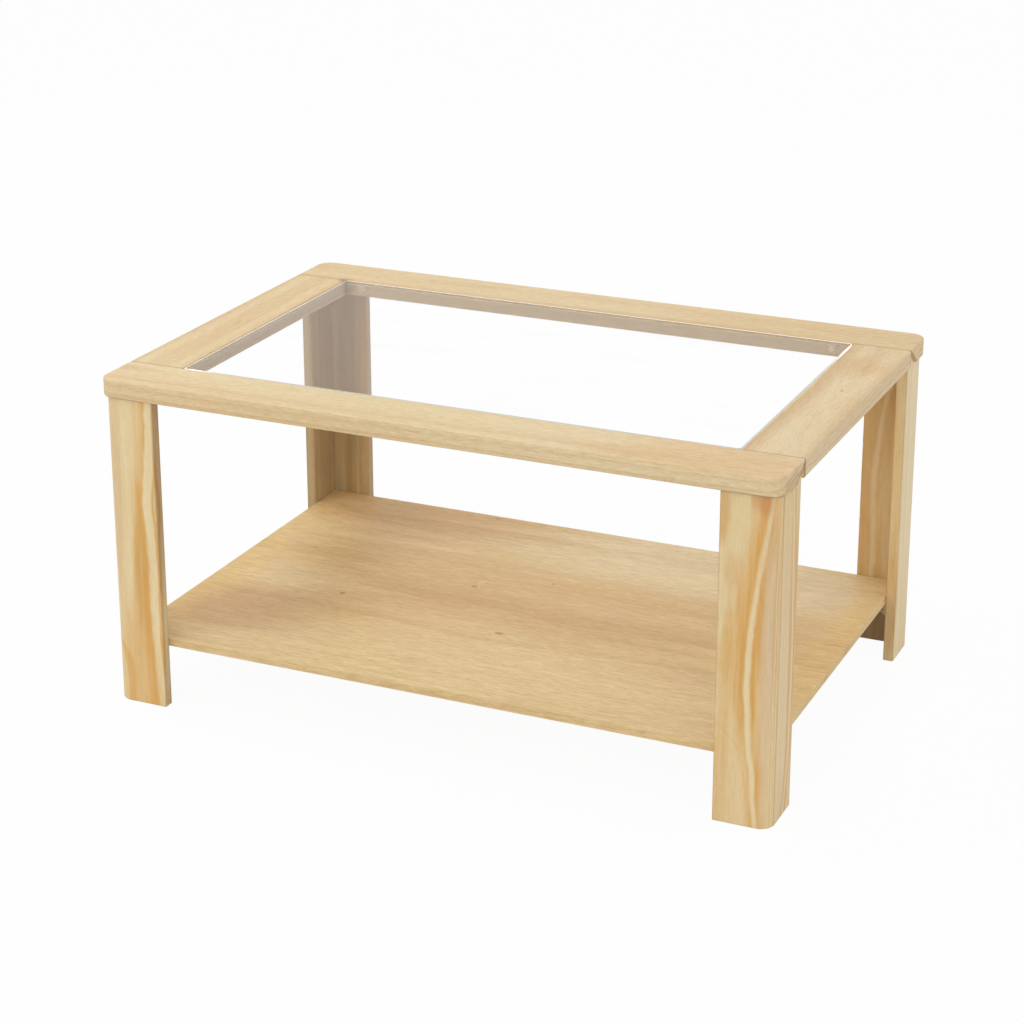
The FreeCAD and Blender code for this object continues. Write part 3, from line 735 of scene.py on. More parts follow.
@dataclass(frozen=True)
class BeechFinish:
    """Raw turned beech of the dowels: pale, with short darker flecks."""

    name: str = "dowel_beech"
    pale: str = "DDBE93"
    fleck: str = "A97C50"
    roughness: float = 0.6
    fleck_dullness: float = 0.2
    least_tone: float = 0.9
    tone_span: float = 0.2

    def material(self) -> Material:
        """Make the finish.

        Returns:
            The material.
        """
        material = bpy.data.materials.new(self.name)
        net = Net.of(material)
        place = net.place()
        flecks = net.noise(place, 900.0, rough=0.6)[0]
        colour = net.blend(net.ramp(flecks, 0.55, 0.75), tint(self.pale), tint(self.fleck))
        tone = net.times(net.noise(place, 40.0)[0], self.tone_span, plus=self.least_tone)
        net.show(net.add("ShaderNodeBsdfPrincipled", {
            "Base Color": net.scaled(colour, tone),
            "Roughness": net.times(flecks, self.fleck_dullness, plus=self.roughness),
            "Normal": net.bump(flecks, strength=0.3, depth=0.0001)}))
        return material


@dataclass(frozen=True)
class SteelFinish:
    """Bright zinc on steel, with fine turning marks and dull patches."""

    name: str
    bright: str
    dull: str
    roughness: float

    SPREAD = 0.25

    def material(self) -> Material:
        """Make the finish.

        Returns:
            The material.
        """
        material = bpy.data.materials.new(self.name)
        net = Net.of(material)
        place = net.place()
        patch = net.noise(place, 260.0, detail=3.0)[0]
        marks = net.noise(place, 3000.0, detail=1.0)[0]
        net.show(net.add("ShaderNodeBsdfPrincipled", {
            "Base Color": net.blend(net.ramp(patch, 0.4, 0.65), tint(self.bright), tint(self.dull)),
            "Roughness": net.times(patch, self.SPREAD, plus=self.roughness),
            "Normal": net.bump(marks, strength=0.15, depth=0.00005), "Metallic": 1.0}))
        return material


@dataclass(frozen=True)
class ClearFinish:
    """A clear stuff with plain transmission: float glass or soft plastic, which glows with painted light."""

    name: str
    body: str
    smear: str
    roughness: float
    smear_roughness: float
    refraction: float
    # Painted light: the emission colour that makes the part glow.
    glow: Colour
    ripple: float = 0.0
    ground_edge: Point | None = None

    SMEAR_SHARE = 0.5
    GROUND_ROUGHNESS = 0.6

    def material(self) -> Material:
        """Make the finish, with faint wiping marks and a painted glow: over the whole part, or only on the top of its
        ground edge where one is given.

        Returns:
            The material.
        """
        material = bpy.data.materials.new(self.name)
        net = Net.of(material)
        place = net.place()
        wiped = net.noise(place, (7.0, 16.0, 7.0), detail=3.0, rough=0.6)[0]
        smears = net.ramp(wiped, 0.45, 0.75)
        rough = net.times(smears, self.smear_roughness, plus=self.roughness)
        glow: Value = self.glow
        if self.ground_edge is not None:
            x, y, z = net.parts(net.vector("ABSOLUTE", place))
            from_x, from_y, from_z = self.ground_edge
            edge = net.plus(net.above(x, from_x), net.above(y, from_y), clamp=True)
            rough = net.times(edge, self.GROUND_ROUGHNESS, plus=rough)
            # Painted light: only the top of the ground edge keeps the glow.
            glow = net.blend(net.times(edge, net.above(z, from_z)), BLACK, glow)
        net.show(net.add("ShaderNodeBsdfPrincipled", {
            "Base Color": net.stained(tint(self.body), smears, self.SMEAR_SHARE, self.smear), "Roughness": rough,
            "Normal": net.bump(wiped, self.ripple, depth=0.00005), "IOR": self.refraction, "Transmission Weight": 1.0,
            "Emission Color": glow, "Emission Strength": 1.0}))
        return material


@dataclass
class Studio:
    """The plain floor, the soft light and the camera."""

    lens: float = 88.033
    sensor: float = 36.0
    shift: tuple[float, float] = (0.003355, -0.125)
    spot: Point = (1.24039, -2.80272, 1.41439)
    right: Point = (0.91219, 0.40976, -0.00173)
    up: Point = (-0.12704, 0.28682, 0.94952)
    back: Point = (0.38957, -0.86593, 0.31369)
    farthest: float = 100.0
    ambient: float = 0.655
    strip_spot: Point = (-1.43, -0.35, 3.0)
    strip_aim: Point = (0.0, 0.0, 0.1)
    strip_size: tuple[float, float] = (3.4, 0.5)
    strip_power: float = 26.5
    front_way: Point = (0.05, -0.93, 0.35)
    front_level: float = 0.64
    right_way: Point = (0.93, -0.1, 0.35)
    right_level: float = 0.30
    fill_spread: float = 100.0
    floor_half: float = 30.0
    floor_grey: float = 0.85
    floor_glow: float = 0.955

    def camera(self) -> None:
        """Set the camera where the photograph was taken from."""
        data = bpy.data.cameras.new("camera")
        data.sensor_width = self.sensor
        data.lens = self.lens
        data.shift_x, data.shift_y = self.shift
        data.clip_end = self.farthest
        camera = bpy.data.objects.new("camera", data)
        turn = Matrix((self.right, self.up, self.back)).transposed()
        camera.matrix_world = Matrix.Translation(self.spot) @ turn.to_4x4()
        bpy.context.scene.collection.objects.link(camera)
        bpy.context.scene.camera = camera

    @staticmethod
    def seen(net: Net) -> Socket:
        """Find what the camera sees, straight on, in a gloss or through glass.

        Args:
            net: The tree of the material or the world.

        Returns:
            1 where it is seen, otherwise 0.
        """
        path = net.add("ShaderNodeLightPath").outputs
        seen = net.plus(path["Is Camera Ray"], path["Is Glossy Ray"])
        return net.plus(seen, path["Is Transmission Ray"], clamp=True)

    def lights(self) -> None:
        """Light the room evenly, with a soft strip high on the left and weak fills."""
        scene = bpy.context.scene
        world = bpy.data.worlds.new("room")
        net = Net.of(world)
        level = net.times(self.seen(net), 1.0 - self.ambient, plus=self.ambient)
        net.show(net.add("ShaderNodeBackground", {"Color": WHITE, "Strength": level}), "ShaderNodeOutputWorld")
        scene.world = world
        strip = bpy.data.lights.new("strip_lamp", "AREA")
        strip.shape = "RECTANGLE"
        strip.size, strip.size_y = self.strip_size
        strip.energy = self.strip_power
        lamp = bpy.data.objects.new("strip_lamp", strip)
        aim = (Vector(self.strip_aim) - Vector(self.strip_spot)).to_track_quat("-Z", "Y")
        lamp.matrix_world = Matrix.Translation(self.strip_spot) @ aim.to_matrix().to_4x4()
        scene.collection.objects.link(lamp)
        for name, way, level in (("front_fill", self.front_way, self.front_level),
                                 ("right_fill", self.right_way, self.right_level)):
            fill = bpy.data.lights.new(name, "SUN")
            fill.energy = level
            fill.angle = math.radians(self.fill_spread)
            lamp = bpy.data.objects.new(name, fill)
            lamp.matrix_world = Vector(way).to_track_quat("Z", "Y").to_matrix().to_4x4()
            scene.collection.objects.link(lamp)

    def floor(self) -> None:
        """Lay a pale floor that keeps a faint shadow."""
        mesh = bpy.data.meshes.new("floor")
        half = self.floor_half
        mesh.from_pydata([(-half, -half, 0), (half, -half, 0), (half, half, 0), (-half, half, 0)], [], [(0, 1, 2, 3)])
        floor = bpy.data.objects.new("floor", mesh)
        bpy.context.scene.collection.objects.link(floor)
        material = bpy.data.materials.new("floor_paint")
        net = Net.of(material)
        paint = net.add("ShaderNodeBsdfDiffuse", {"Color": (self.floor_grey,) * 3}).outputs[0]
        glow = net.add("ShaderNodeEmission", {"Color": WHITE, "Strength": 1.0}).outputs[0]
        share = net.times(self.seen(net), self.floor_glow)
        net.show(net.add("ShaderNodeMixShader", {0: share, 1: paint, 2: glow}))
        mesh.materials.append(material)

    def build(self) -> None:
        """Set up the whole studio."""
        self.camera()
        self.lights()
        self.floor()
        bpy.context.scene.view_settings.view_transform = "Standard"


def dress(node: str, material: Material) -> None:
    """Give a piece of the model its finish.

    Args:
        node: The piece's name.
        material: The finish.
    """
    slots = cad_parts[node].data.materials
    slots.clear()
    slots.append(material)
    log.info("%s: %s", node, material.name)


@dataclass
class TopFrame:
    """The four rails round the glass."""

    seam_place: float = 0.223
    butt_inset: float = 0.0011
    haunch_foot: Point = (0.0, 0.2536, 0.4169)
    haunch_normal: Point = (0.0, 0.5824, 0.8129)
    haunch_reach: float = 0.4325
    opening: tuple[float, float] = (0.3733, 0.2233)
    wood: PineFinish = PineFinish(Grain.LENGTHWISE, "E3CEA4", "DBBC88", "C2965F", "E0C098", 0.35,
                                  ring_strength=0.45, streak=0.18)

    def seams(self) -> tuple[tuple[Seam, Seam], tuple[Seam, Seam]]:
        """The dark lines where a rail meets its neighbours and the haunches.

        Returns:
            The seams of a long rail, and those of a short one.
        """
        foot = (0.0, self.seam_place, 0.0)
        notch = Seam(self.haunch_foot, self.haunch_normal, self.haunch_reach, width=0.0009, depth=0.75)
        joint = Seam(foot, REAR, reach=0.3732, width=0.0009, depth=0.5)
        butt = Seam((0.0, self.seam_place - self.butt_inset, 0.0), REAR, reach=0.0, width=0.0008, depth=0.55)
        side = Seam(foot, REAR, reach=0.4487, width=0.0022, depth=0.65)
        return (notch, joint), (butt, side)

    def finishes(self) -> dict[str, PineFinish]:
        """The finish of each rail.

        Returns:
            Node name to finish.
        """
        long_seams, short_seams = self.seams()
        half_x, half_y = self.opening
        corner_shadow = Patch((-0.373, 0.223, 0.428), (0.014, 0.012, 0.03), "6E6048", 0.5)
        # Each rail's shade is painted shade on its inner face, round the glass.
        long_rail = replace(self.wood, streak_scale=(330.0, 420.0, 75.0), seams=long_seams)
        short_rail = replace(self.wood, grain=Grain.CROSSWISE, streak_scale=(620.0, 430.0, 45.0), seams=short_seams,
                             shade=PaintedShade(0, half_x, "8C7660", 0.55))
        return {
            "front_rail": replace(
                long_rail, heart=(-0.245, 0.34, 0.0), seed=1.0, shade=PaintedShade(1, half_y, "B79C7C", 0.3), patches=(
                    Patch((0.36, -0.26, 0.442), (0.16, 0.2, 0.007), "DDB27C", 0.45),
                    Patch((-0.1, -0.25, 0.44), (0.4, 0.03, 0.03), "E2CE9C", 0.3),
                    Patch((0.45, -0.26, 0.425), (0.02, 0.04, 0.014), "B98F66", 0.4),
                    # Painted shadow: a dark line along the rail's underside over the tops of the front legs.
                    Patch((0.42, -0.29, 0.416), (0.06, 0.06, 0.0024), "7A4C2E", 0.6),
                    Patch((-0.41, -0.29, 0.416), (0.05, 0.06, 0.0024), "7A4C2E", 0.45))),
            "rear_rail": replace(
                long_rail, heart=(0.27, 0.33, 0.0), seed=2.0, shade=PaintedShade(1, half_y, "A08866", 0.55), patches=(
                    corner_shadow, Patch((0.0, 0.26, 0.44), (0.6, 0.06, 0.02), "D6B986", 0.25))),
            "left_rail": replace(
                short_rail, heart=(-0.41, 0.33, 0.0), seed=3.0, patches=(corner_shadow,), specks=(
                    Speck((-0.41, -0.02, 0.44), (0.002, 0.012, 0.004), 0.35, "9C6E42"),)),
            "right_rail": replace(
                short_rail, heart=(0.42, 0.33, 0.0), seed=4.0,
                patches=(Patch((0.418, 0.13, 0.44), (0.03, 0.05, 0.03), "D3A770", 0.45),),
                specks=(Speck((0.416, 0.029, 0.44), (0.003, 0.005, 0.004), 0.5),
                        Speck((0.418, 0.13, 0.44), (0.006, 0.022, 0.004), 0.3, "B98A56"))),
        }

    def build(self, effects: WoodEffects) -> None:
        """Dress the rails."""
        for node, finish in self.finishes().items():
            finish.lay(node, f"{node}_pine", effects)


@dataclass
class GlassInfill:
    """The pane, its steel pins and the clear pads on them."""

    # The pane's ground edge glows with painted light.
    pane: ClearFinish = ClearFinish(
        "pane_glass", body="FFFFFF", smear="F8FCFA", roughness=0.0, smear_roughness=0.02, refraction=1.15,
        glow=(0.6, 0.59, 0.55), ground_edge=(0.3707, 0.2207, 0.4376))
    # The pads glow faintly with painted light, as soft light dots.
    pad: ClearFinish = ClearFinish(
        "pad_plastic", body="FBFAF6", smear="F2EEE4", roughness=0.1, smear_roughness=0.1, refraction=1.01,
        glow=(0.06, 0.054, 0.046), ripple=0.1)
    pin: SteelFinish = SteelFinish("pin_steel", bright="E6D8BE", dull="D2C2A6", roughness=0.5)

    def build(self) -> None:
        """Dress the pane, the pins and the pads."""
        for node, finish in (("glass_panel", self.pane), ("glass_pads", self.pad), ("glass_pins", self.pin)):
            dress(node, finish.material())


@dataclass
class Leg:
    """A leg of two boards with its shelf block.

    INNER_FACE and BOARD_EDGE are the depths from the leg's outer faces between
    which the painted shade of its inner faces and of its boards' edges sets in.
    """

    CORNER_X = 0.446
    CORNER_Y = 0.296
    HEIGHT = 0.416
    INNER_FACE = (0.0131, 0.0139)
    BOARD_EDGE = (0.0712, 0.0718)
    BLOCK_SEED_STEP = 7.0

    corner: Corner
    seed: float
    flames: tuple[Flame, ...]
    patches: tuple[Patch, ...]
    # Shares of painted shade on the inner faces and on the boards' edges.
    inner_shade: float = 0.04
    edge_shade: float = 0.1
    wood: PineFinish = PineFinish(Grain.UPRIGHT, "E8D4A6", "E0C48C", "DAA75C", "E4C598", heart=(0.05, 0.1, 0.0),
                                  ring_strength=0.18, streak=0.06, arris="B98A50", arris_share=0.4)
    block_wood: PineFinish = PineFinish(Grain.CROSSWISE, "DCC598", "CFAE7E", "BC9160", "D2B28C",
                                        heart=(0.3, -0.1, 0.0))

    def build(self, effects: WoodEffects) -> None:
        """Dress the boards and the block.

        Args:
            effects: The shared groups.
        """
        label = self.corner.label
        boards = replace(self.wood, seed=self.seed, corner=self.corner, flames=self.flames, patches=self.patches,
                         inner_shade=self.inner_shade, edge_shade=self.edge_shade)
        for ending in (f"{self.corner.value[2]}_board", "side_board"):
            boards.lay(f"{label}_leg_{ending}", f"{label}_leg_pine_{ending}", effects)
        block = replace(self.block_wood, seed=self.seed + self.BLOCK_SEED_STEP)
        block.lay(f"{label}_shelf_block", f"{label}_block_pine", effects)

    @staticmethod
    def all_four() -> tuple["Leg", ...]:
        """Describe each leg, with the figures and patches of its own boards.

        Returns:
            The four legs.
        """
        front_left = Leg(Corner.FRONT_LEFT, 8.0, (
            Flame(((0, 70), (21, 69), (88, 63), (155, 61), (221, 61), (271, 59), (321, 62), (416, 67)),
                  gap=0.012, near_band=0.022, far_band=0.005, strength=1.12),
            Flame(((0, 20), (40, 20), (75, 12), (100, -20), (416, -30)),
                  gap=0.0, near_band=0.007, far_band=0.007, strength=0.8),
            Flame(((0, 45), (121, 52), (205, 58), (271, 50), (338, 45), (416, 40)),
                  on_wide_face=False, far_band=0.01, strength=0.7),
        ), (
            Patch((-0.41, -0.296, 0.04), (0.035, 0.012, 0.13), "DDA85E", 0.4),
            Patch((-0.4, -0.296, 0.2), (0.016, 0.012, 0.07), "CC9C50", 0.2),
            Patch((-0.437, -0.296, 0.3), (0.014, 0.012, 0.14), "DAB488", 0.45),
            # Painted shade from the rail on the top of the wide board's edge.
            Patch((-0.374, -0.289, 0.36), (0.003, 0.02, 0.26), "9A6C3C", 0.45),
        ), edge_shade=0.17)
        front_right = Leg(Corner.FRONT_RIGHT, 6.0, (
            Flame(((0, 18), (21, 21), (71, 25), (105, 30), (155, 33), (221, 33), (271, 30), (338, 20), (380, 13),
                   (416, 7)), gap=0.0058, near_band=0.016, far_band=0.018, strength=1.08),
            Flame(((0, 45), (21, 49), (71, 56), (121, 59), (205, 61), (271, 58), (338, 53), (411, 47), (416, 46)),
                  on_wide_face=False, near_band=0.011, far_band=0.009, strength=0.8),
            Flame(((0, 6), (100, 5), (221, 5), (338, 6), (416, 9)),
                  on_wide_face=False, gap=0.003, near_band=0.004, far_band=0.005, strength=0.75),
            Flame(((0, 30), (61, 34), (95, 41), (128, 72), (140, 110), (416, 150)),
                  gap=0.0, near_band=0.002, far_band=0.002, strength=0.6),
            Flame(((0, 68), (100, 64), (200, 53), (260, 47), (330, 32), (416, 24)),
                  gap=0.0, near_band=0.014, far_band=0.014, strength=0.45),
        ), (
            Patch((0.437, -0.296, 0.2), (0.01, 0.012, 0.24), "D8B896", 0.5),
            Patch((0.379, -0.296, 0.395), (0.009, 0.012, 0.04), "CF9A54", 0.55),
            Patch((0.393, -0.296, 0.32), (0.012, 0.012, 0.025), "DDAE74", 0.45),
            Patch((0.384, -0.296, 0.215), (0.012, 0.012, 0.03), "D9AC5E", 0.35),
            # Painted shade under the rail at the top of the leg.
            Patch((0.426, -0.296, 0.408), (0.016, 0.012, 0.018), "C98652", 0.5),
        ))
        rear_right = Leg(Corner.REAR_RIGHT, 9.0, (
            Flame(((0, 36), (126, 36), (243, 39), (322, 33), (361, 24), (416, 12)),
                  near_band=0.014, far_band=0.03, strength=0.55),
            Flame(((0, 36), (100, 40), (205, 44), (300, 45), (416, 44)),
                  on_wide_face=False, near_band=0.006, far_band=0.008, strength=0.7),
        ), (
            # Painted shade low on the inner face, under the shelf.
            Patch((0.405, 0.284, 0.02), (0.06, 0.012, 0.075), "6A4626", 0.45),
            Patch((0.439, 0.223, 0.08), (0.012, 0.012, 0.1), "C8924E", 0.5),
            Patch((0.439, 0.223, 0.25), (0.012, 0.012, 0.12), "D8B468", 0.35),
            Patch((0.447, 0.26, 0.3), (0.006, 0.05, 0.3), "F0DFB8", 0.6),
        ), inner_shade=0.13, edge_shade=0.0)
        rear_left = Leg(Corner.REAR_LEFT, 10.0, (
            Flame(((0, 36), (121, 38), (205, 40), (300, 42), (416, 44)),
                  gap=0.003, near_band=0.02, far_band=0.024, strength=0.7),
            Flame(((0, 50), (121, 46), (205, 44), (300, 42), (416, 40)),
                  on_wide_face=False, near_band=0.008, strength=0.5),
        ), (
            Patch((-0.402, 0.284, 0.3), (0.02, 0.012, 0.2), "A79A6C", 0.5),
            # Painted shade on the side board's inner face.
            Patch((-0.433, 0.25, 0.3), (0.006, 0.05, 0.25), "8A6234", 0.28),
        ), inner_shade=0.39, edge_shade=0.42)
        return front_left, front_right, rear_right, rear_left


@dataclass
class Shelf:
    """The wide lower shelf."""

    joint_place: float = 0.042
    joint_reach: float = 0.395
    wood: PineFinish = PineFinish(
        Grain.LENGTHWISE, "DEC28F", "CFA871", "BC9058", "D4B086", heart=(0.1, -0.5, 0.0), seed=5.0, ring_width=0.014,
        sway=0.011, ring_strength=0.3, fine=0.15, streak=0.22, streak_scale=(470.0, 470.0, 62.0), broad=0.08,
        specks=(
            Speck((-0.349, 0.067, 0.093), (0.004, 0.003, 0.004), 0.5),
            Speck((-0.086, 0.031, 0.093), (0.006, 0.004, 0.004), 0.65),
            Speck((-0.082, 0.045, 0.093), (0.006, 0.013, 0.004), 0.3, "EAD2A0"),
            Speck((0.009, 0.081, 0.093), (0.004, 0.003, 0.004), 0.5),
            Speck((0.009, -0.097, 0.093), (0.009, 0.004, 0.004), 0.65),
            Speck((-0.238, -0.062, 0.093), (0.005, 0.004, 0.004), 0.6),
            Speck((-0.16, 0.272, 0.093), (0.005, 0.004, 0.004), 0.5),
            Speck((0.112, -0.09, 0.093), (0.06, 0.006, 0.004), 0.12, "A87848"),
        ),
        patches=(
            # Painted highlight: a paler stretch along the front of the shelf top.
            Patch((0.15, -0.24, 0.09), (0.75, 0.12, 0.1), "EBD3A0", 0.6),
            Patch((0.05, 0.05, 0.09), (0.5, 0.1, 0.1), "C79E6C", 0.3),
            # Painted shadow of the left rail on the shelf.
            Patch((-0.36, -0.17, 0.09), (0.12, 0.07, 0.1), "C4966A", 0.45),
            # Painted light: a pale pool near the left end of the shelf.
            Patch((-0.33, -0.03, 0.09), (0.12, 0.045, 0.1), "EAD2A2", 0.5),
            Patch((0.2, 0.21, 0.09), (0.33, 0.1, 0.1), "EAD6B0", 0.65),
            Patch((-0.28, 0.26, 0.09), (0.2, 0.09, 0.1), "BE9464", 0.3),
            Patch((-0.43, -0.05, 0.09), (0.05, 0.3, 0.1), "E6C480", 0.5),
            Patch((0.43, 0.0, 0.09), (0.05, 0.3, 0.1), "E2BC74", 0.5),
            # Painted shade: the front face of the shelf darker and warmer than its top.
            Patch((0.1, -0.2815, 0.086), (0.8, 0.0022, 0.03), "CFA266", 0.25),
        ))

    def build(self, effects: WoodEffects) -> None:
        """Dress the shelf, with the glue joint that shows at its ends."""
        joint = Seam((0.0, self.joint_place, 0.0), REAR, self.joint_reach, width=0.0007, depth=0.35)
        replace(self.wood, seams=(joint,)).lay("shelf_panel", "shelf_pine", effects)


@dataclass(frozen=True)
class Place:
    """Where a fastener sits and which way it points."""

    spot: Point
    way: Point

    def at_each_corner(self) -> list["Place"]:
        """Mirror the place to the four corners of the table.

        Returns:
            The four places, the given one first.
        """
        return [Place((self.spot[0] * x, self.spot[1] * y, self.spot[2]),
                      (self.way[0] * x, self.way[1] * y, self.way[2]))
                for x in (1, -1) for y in (1, -1)]


class ShapeNet(Net):
    """A geometry node tree, with the steps that the fasteners' shapes share."""

    def rod(self, radius: Value, length: Value, around: Value, along: int, rings: int = 1) -> Socket:
        """A closed rod along Z with its middle at the origin, cut into faces around, along and across its ends."""
        inputs = {"Vertices": around, "Side Segments": along, "Fill Segments": rings, "Radius": radius, "Depth": length}
        return self.add("GeometryNodeMeshCylinder", inputs, fill_type="TRIANGLE_FAN").outputs[0]

    def points(self) -> tuple[Socket, Socket, Socket]:
        """Where each point of the shape lies."""
        return self.parts(self.add("GeometryNodeInputPosition").outputs[0])

    def shaped(self, mesh: Socket, x: Value, y: Value, share: Value, z: Value) -> Socket:
        """Set each point at a share of its way from the axis, and at a height of its own."""
        spot = self.joined(self.times(x, share), self.times(y, share), z)
        return self.add("GeometryNodeSetPosition", {"Geometry": mesh, "Position": spot}).outputs[0]

    def chosen(self, test: Value, no: Value, yes: Value) -> Socket:
        """One number or another, by a test."""
        return self.add("GeometryNodeSwitch", {0: test, 1: no, 2: yes}, input_type="FLOAT").outputs[0]


@dataclass
class ShapeTree:
    """A geometry node tree that sets one made shape at every place of a fastener."""

    name: str
    sizes: dict[str, float]

    def begin(self) -> tuple[ShapeNet, Outputs]:
        """Make the empty tree.

        Returns:
            The tree as a ShapeNet and the sockets it is given.
        """
        tree = bpy.data.node_groups.new(self.name, "GeometryNodeTree")
        tree.interface.new_socket("Geometry", in_out="INPUT", socket_type="NodeSocketGeometry")
        for name, size in self.sizes.items():
            kind = "NodeSocketInt" if isinstance(size, int) else "NodeSocketFloat"
            tree.interface.new_socket(name, in_out="INPUT", socket_type=kind).default_value = size
        tree.interface.new_socket("Finish", in_out="INPUT", socket_type="NodeSocketMaterial")
        tree.interface.new_socket("Geometry", in_out="OUTPUT", socket_type="NodeSocketGeometry")
        net = ShapeNet(tree)
        return net, net.add("NodeGroupInput").outputs

    @staticmethod
    def end(net: ShapeNet, given: Outputs, shape: Socket) -> Tree:
        """Set the shape at every place, make it real and give it its finish.

        Args:
            net: The tree.
            given: The sockets the tree is given.
            shape: One fastener, which points along Z.

        Returns:
            The finished tree.
        """
        way = net.add("GeometryNodeInputNamedAttribute", {"Name": "way"}, data_type="FLOAT_VECTOR").outputs[0]
        turn = net.add("FunctionNodeAlignRotationToVector", {"Vector": way}, axis="Z").outputs[0]
        placed = net.add("GeometryNodeInstanceOnPoints", {
            "Points": given["Geometry"], "Instance": shape, "Rotation": turn}).outputs[0]
        real = net.add("GeometryNodeRealizeInstances", {0: placed}).outputs[0]
        done = net.add("GeometryNodeSetMaterial", {"Geometry": real, "Material": given["Finish"]}).outputs[0]
        net.put(net.add("NodeGroupOutput").inputs[0], done)
        return net.tree

    def piece(self, tree: Tree, name: str, places: list[Place], sizes: dict[str, float],
              material: Material) -> bpy.types.Object:
        """Run the tree over the places and keep what it makes as a plain mesh.

        Args:
            tree: The finished tree.
            name: The new piece's name.
            places: Where each fastener sits.
            sizes: Input name to size, where it differs from the tree's own.
            material: The finish.

        Returns:
            The piece.
        """
        dots = bpy.data.meshes.new(f"{name}_places")
        dots.from_pydata([place.spot for place in places], [], [])
        way = dots.attributes.new("way", "FLOAT_VECTOR", "POINT")
        for item, place in zip(way.data, places):
            item.vector = place.way
        maker = bpy.data.objects.new(f"{name}_maker", dots)
        bpy.context.scene.collection.objects.link(maker)
        step = maker.modifiers.new("fasteners", "NODES")
        step.node_group = tree
        wanted = {**self.sizes, **sizes, "Finish": material}
        for item in tree.interface.items_tree:
            if item.item_type == "SOCKET" and item.in_out == "INPUT" and item.name in wanted:
                step[item.identifier] = wanted[item.name]
        seen = maker.evaluated_get(bpy.context.evaluated_depsgraph_get())
        mesh = bpy.data.meshes.new_from_object(seen)
        mesh.name = name
        maker.modifiers.remove(step)
        bpy.data.objects.remove(maker)
        piece = bpy.data.objects.new(name, mesh)
        bpy.context.scene.collection.objects.link(piece)
        return piece


@dataclass
class RibbedDowel:
    """A beech dowel with glue ribs along it and bevelled ends."""

    plan: ShapeTree = field(default_factory=lambda: ShapeTree("ribbed_dowel", {
        "Diameter": 0.008, "Length": 0.04, "Bevel": 0.0008, "Rib Depth": 0.0003, "Ribs": 12}))

    POINTS_TO_A_RIB = 4.0
    RINGS_ALONG = 3
    END_SHARE = 0.4

    def tree(self) -> Tree:
        """Build the tree, with the dowel's middle at its place.

        Returns:
            The tree.
        """
        net, given = self.plan.begin()
        length, bevel = given["Length"], given["Bevel"]
        radius = net.times(given["Diameter"], 0.5)
        rod = net.rod(radius, length, net.times(given["Ribs"], self.POINTS_TO_A_RIB), self.RINGS_ALONG)
        x, y, z = net.points()
        end = net.above(net.math("ABSOLUTE", z), net.times(length, self.END_SHARE))
        side = net.less(1.0, end)
        turn = net.times(net.math("ARCTAN2", y, x), given["Ribs"])
        rib = net.times(net.times(net.math("COSINE", turn), 0.5, plus=0.5), given["Rib Depth"])
        drawn_in = net.plus(net.times(end, bevel), net.times(side, rib))
        share = net.less(1.0, net.over(drawn_in, radius))
        ring_height = net.over(length, 2.0 * self.RINGS_ALONG)
        stretch = net.over(net.less(net.times(length, 0.5), bevel), ring_height)
        rise = net.times(z, net.plus(end, net.times(side, stretch)))
        return self.plan.end(net, given, net.shaped(rod, x, y, share, rise))


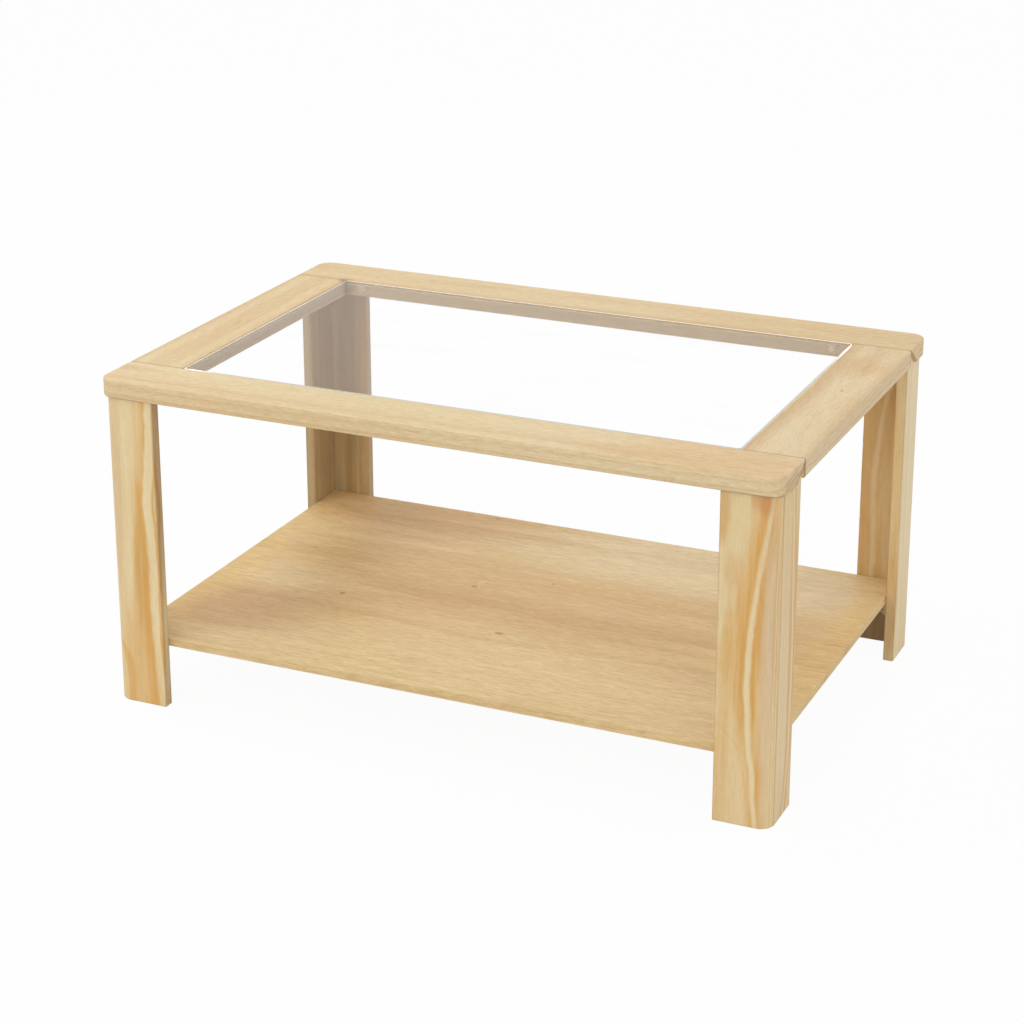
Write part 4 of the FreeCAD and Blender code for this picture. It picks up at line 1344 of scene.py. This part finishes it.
@dataclass
class BlockScrew:
    """A steel screw with a low round head, a six-lobed recess and a cut thread."""

    plan: ShapeTree = field(default_factory=lambda: ShapeTree("block_screw", {
        "Diameter": 0.004, "Length": 0.025, "Head Diameter": 0.008, "Head Height": 0.0025, "Recess": 0.0014,
        "Pitch": 0.0018, "Thread Depth": 0.0004, "Point": 0.003}))

    LOBES = 6.0
    LOBE_DEPTH = 0.07
    RECESS_SHARE = 0.4
    RECESS_TAPER = 0.06
    OUTER_FACE = 0.4
    TIP_SHARE = 0.03

    def head(self, net: ShapeNet, given: Outputs) -> Socket:
        """The head, behind the place.

        Args:
            net: The tree.
            given: The sockets the tree is given.

        Returns:
            The head's mesh.
        """
        height = given["Head Height"]
        radius = net.times(given["Head Diameter"], 0.5)
        disc = net.rod(radius, height, around=24, along=2, rings=3)
        x, y, z = net.points()
        away = net.from_axis(x, y)
        ring = net.over(away, radius)
        off_centre, inner, rim = net.above(ring, 0.1), net.math("LESS_THAN", ring, 0.5), net.above(ring, 0.9)
        outer = net.math("LESS_THAN", z, net.times(height, -self.OUTER_FACE))
        lobes = net.math("COSINE", net.times(net.math("ARCTAN2", y, x), self.LOBES))
        star = net.times(radius, net.times(lobes, self.LOBE_DEPTH, plus=self.RECESS_SHARE))
        rounded = net.less(radius, net.times(height, 0.5))
        share = net.over(net.chosen(rim, star, rounded), net.math("MAXIMUM", away, 0.0001))
        share = net.times(net.times(share, off_centre), net.times(inner, -self.RECESS_TAPER, plus=1.0))
        share = net.chosen(outer, 1.0, share)
        sunk = net.times(net.times(outer, inner), given["Recess"])
        drop = net.times(height, -0.5, plus=sunk)
        return net.shaped(disc, x, y, share, net.plus(z, drop))

    def shank(self, net: ShapeNet, given: Outputs) -> Socket:
        """The threaded shank with its point, ahead of the place.

        Args:
            net: The tree.
            given: The sockets the tree is given.

        Returns:
            The shank's mesh.
        """
        length = given["Length"]
        radius = net.times(given["Diameter"], 0.5)
        rod = net.rod(radius, length, around=12, along=72)
        x, y, z = net.points()
        rise = net.times(length, 0.5, plus=z)
        turn = net.over(net.math("ARCTAN2", y, x), math.tau)
        phase = net.math("FRACT", net.less(net.over(rise, given["Pitch"]), turn))
        valley = net.math("ABSOLUTE", net.times(phase, 2.0, plus=-1.0))
        share = net.less(1.0, net.over(net.times(valley, given["Thread Depth"]), radius))
        left = net.over(net.less(length, rise), given["Point"])
        taper = net.math("MAXIMUM", net.math("MINIMUM", left, 1.0), self.TIP_SHARE)
        return net.shaped(rod, x, y, net.times(share, taper), rise)

    def tree(self) -> Tree:
        """Build the tree, with the underside of the head at its place.

        Returns:
            The tree.
        """
        net, given = self.plan.begin()
        both = net.add("GeometryNodeJoinGeometry")
        for part in (self.shank(net, given), self.head(net, given)):
            net.put(both.inputs[0], part)
        return self.plan.end(net, given, both.outputs[0])


@dataclass
class Fasteners:
    """The dowels and screws that hold the table together, with their places at the rear right corner."""

    dowel: RibbedDowel = field(default_factory=RibbedDowel)
    screw: BlockScrew = field(default_factory=BlockScrew)
    wood: BeechFinish = BeechFinish()
    steel: SteelFinish = SteelFinish("screw_steel", bright="D2D2CF", dull="A6A49C", roughness=0.24)
    rail_joint: tuple[Place, ...] = (
        Place((0.4218, 0.223, 0.428), REAR), Place((0.3938, 0.223, 0.428), REAR))
    leg_head: tuple[Place, ...] = (
        Place((0.389, 0.289, 0.414), UP), Place((0.419, 0.289, 0.414), UP), Place((0.439, 0.267, 0.414), UP))
    leg_side: tuple[Place, ...] = (
        Place((0.4375, 0.277, 0.033), REAR), Place((0.4375, 0.277, 0.208), REAR), Place((0.4375, 0.277, 0.383), REAR))
    block: tuple[Place, ...] = (Place((0.418, 0.268, 0.064), REAR), Place((0.418, 0.268, 0.074), RIGHT))
    shelf: tuple[Place, ...] = (Place((0.424, 0.274, 0.06), UP),)

    def build(self) -> None:
        """Make each group of fasteners in place of its solids."""
        dowel = (self.dowel.plan, self.dowel.tree(), self.wood.material(), "dowel_beech")
        screw = (self.screw.plan, self.screw.tree(), self.steel.material(), "screw_steel")
        for node, (plan, tree, material, slot), spots, sizes in (
                ("rail_joint_dowels", dowel, self.rail_joint, {"Diameter": 0.008, "Length": 0.04}),
                ("leg_head_dowels", dowel, self.leg_head, {"Diameter": 0.006, "Length": 0.028, "Ribs": 10}),
                ("leg_side_dowels", dowel, self.leg_side, {"Diameter": 0.005, "Length": 0.022, "Ribs": 9}),
                ("block_screws", screw, self.block, {"Length": 0.025}),
                ("shelf_screws", screw, self.shelf, {"Length": 0.029})):
            places = [place for spot in spots for place in spot.at_each_corner()]
            piece = plan.piece(tree, f"{node}_made", places, sizes, material)
            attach(piece, "root")
            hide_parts(node)
            log.info("%s: %d made", node, len(places))


def main() -> None:
    """Build the table's looks piece by piece."""
    logging.basicConfig(level=logging.INFO, format="%(name)s: %(message)s")
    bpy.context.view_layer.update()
    effects = WoodEffects()
    Studio().build()
    TopFrame().build(effects)
    GlassInfill().build()
    for leg in Leg.all_four():
        leg.build(effects)
    Shelf().build(effects)
    Fasteners().build()


if __name__ == "__main__":
    main()
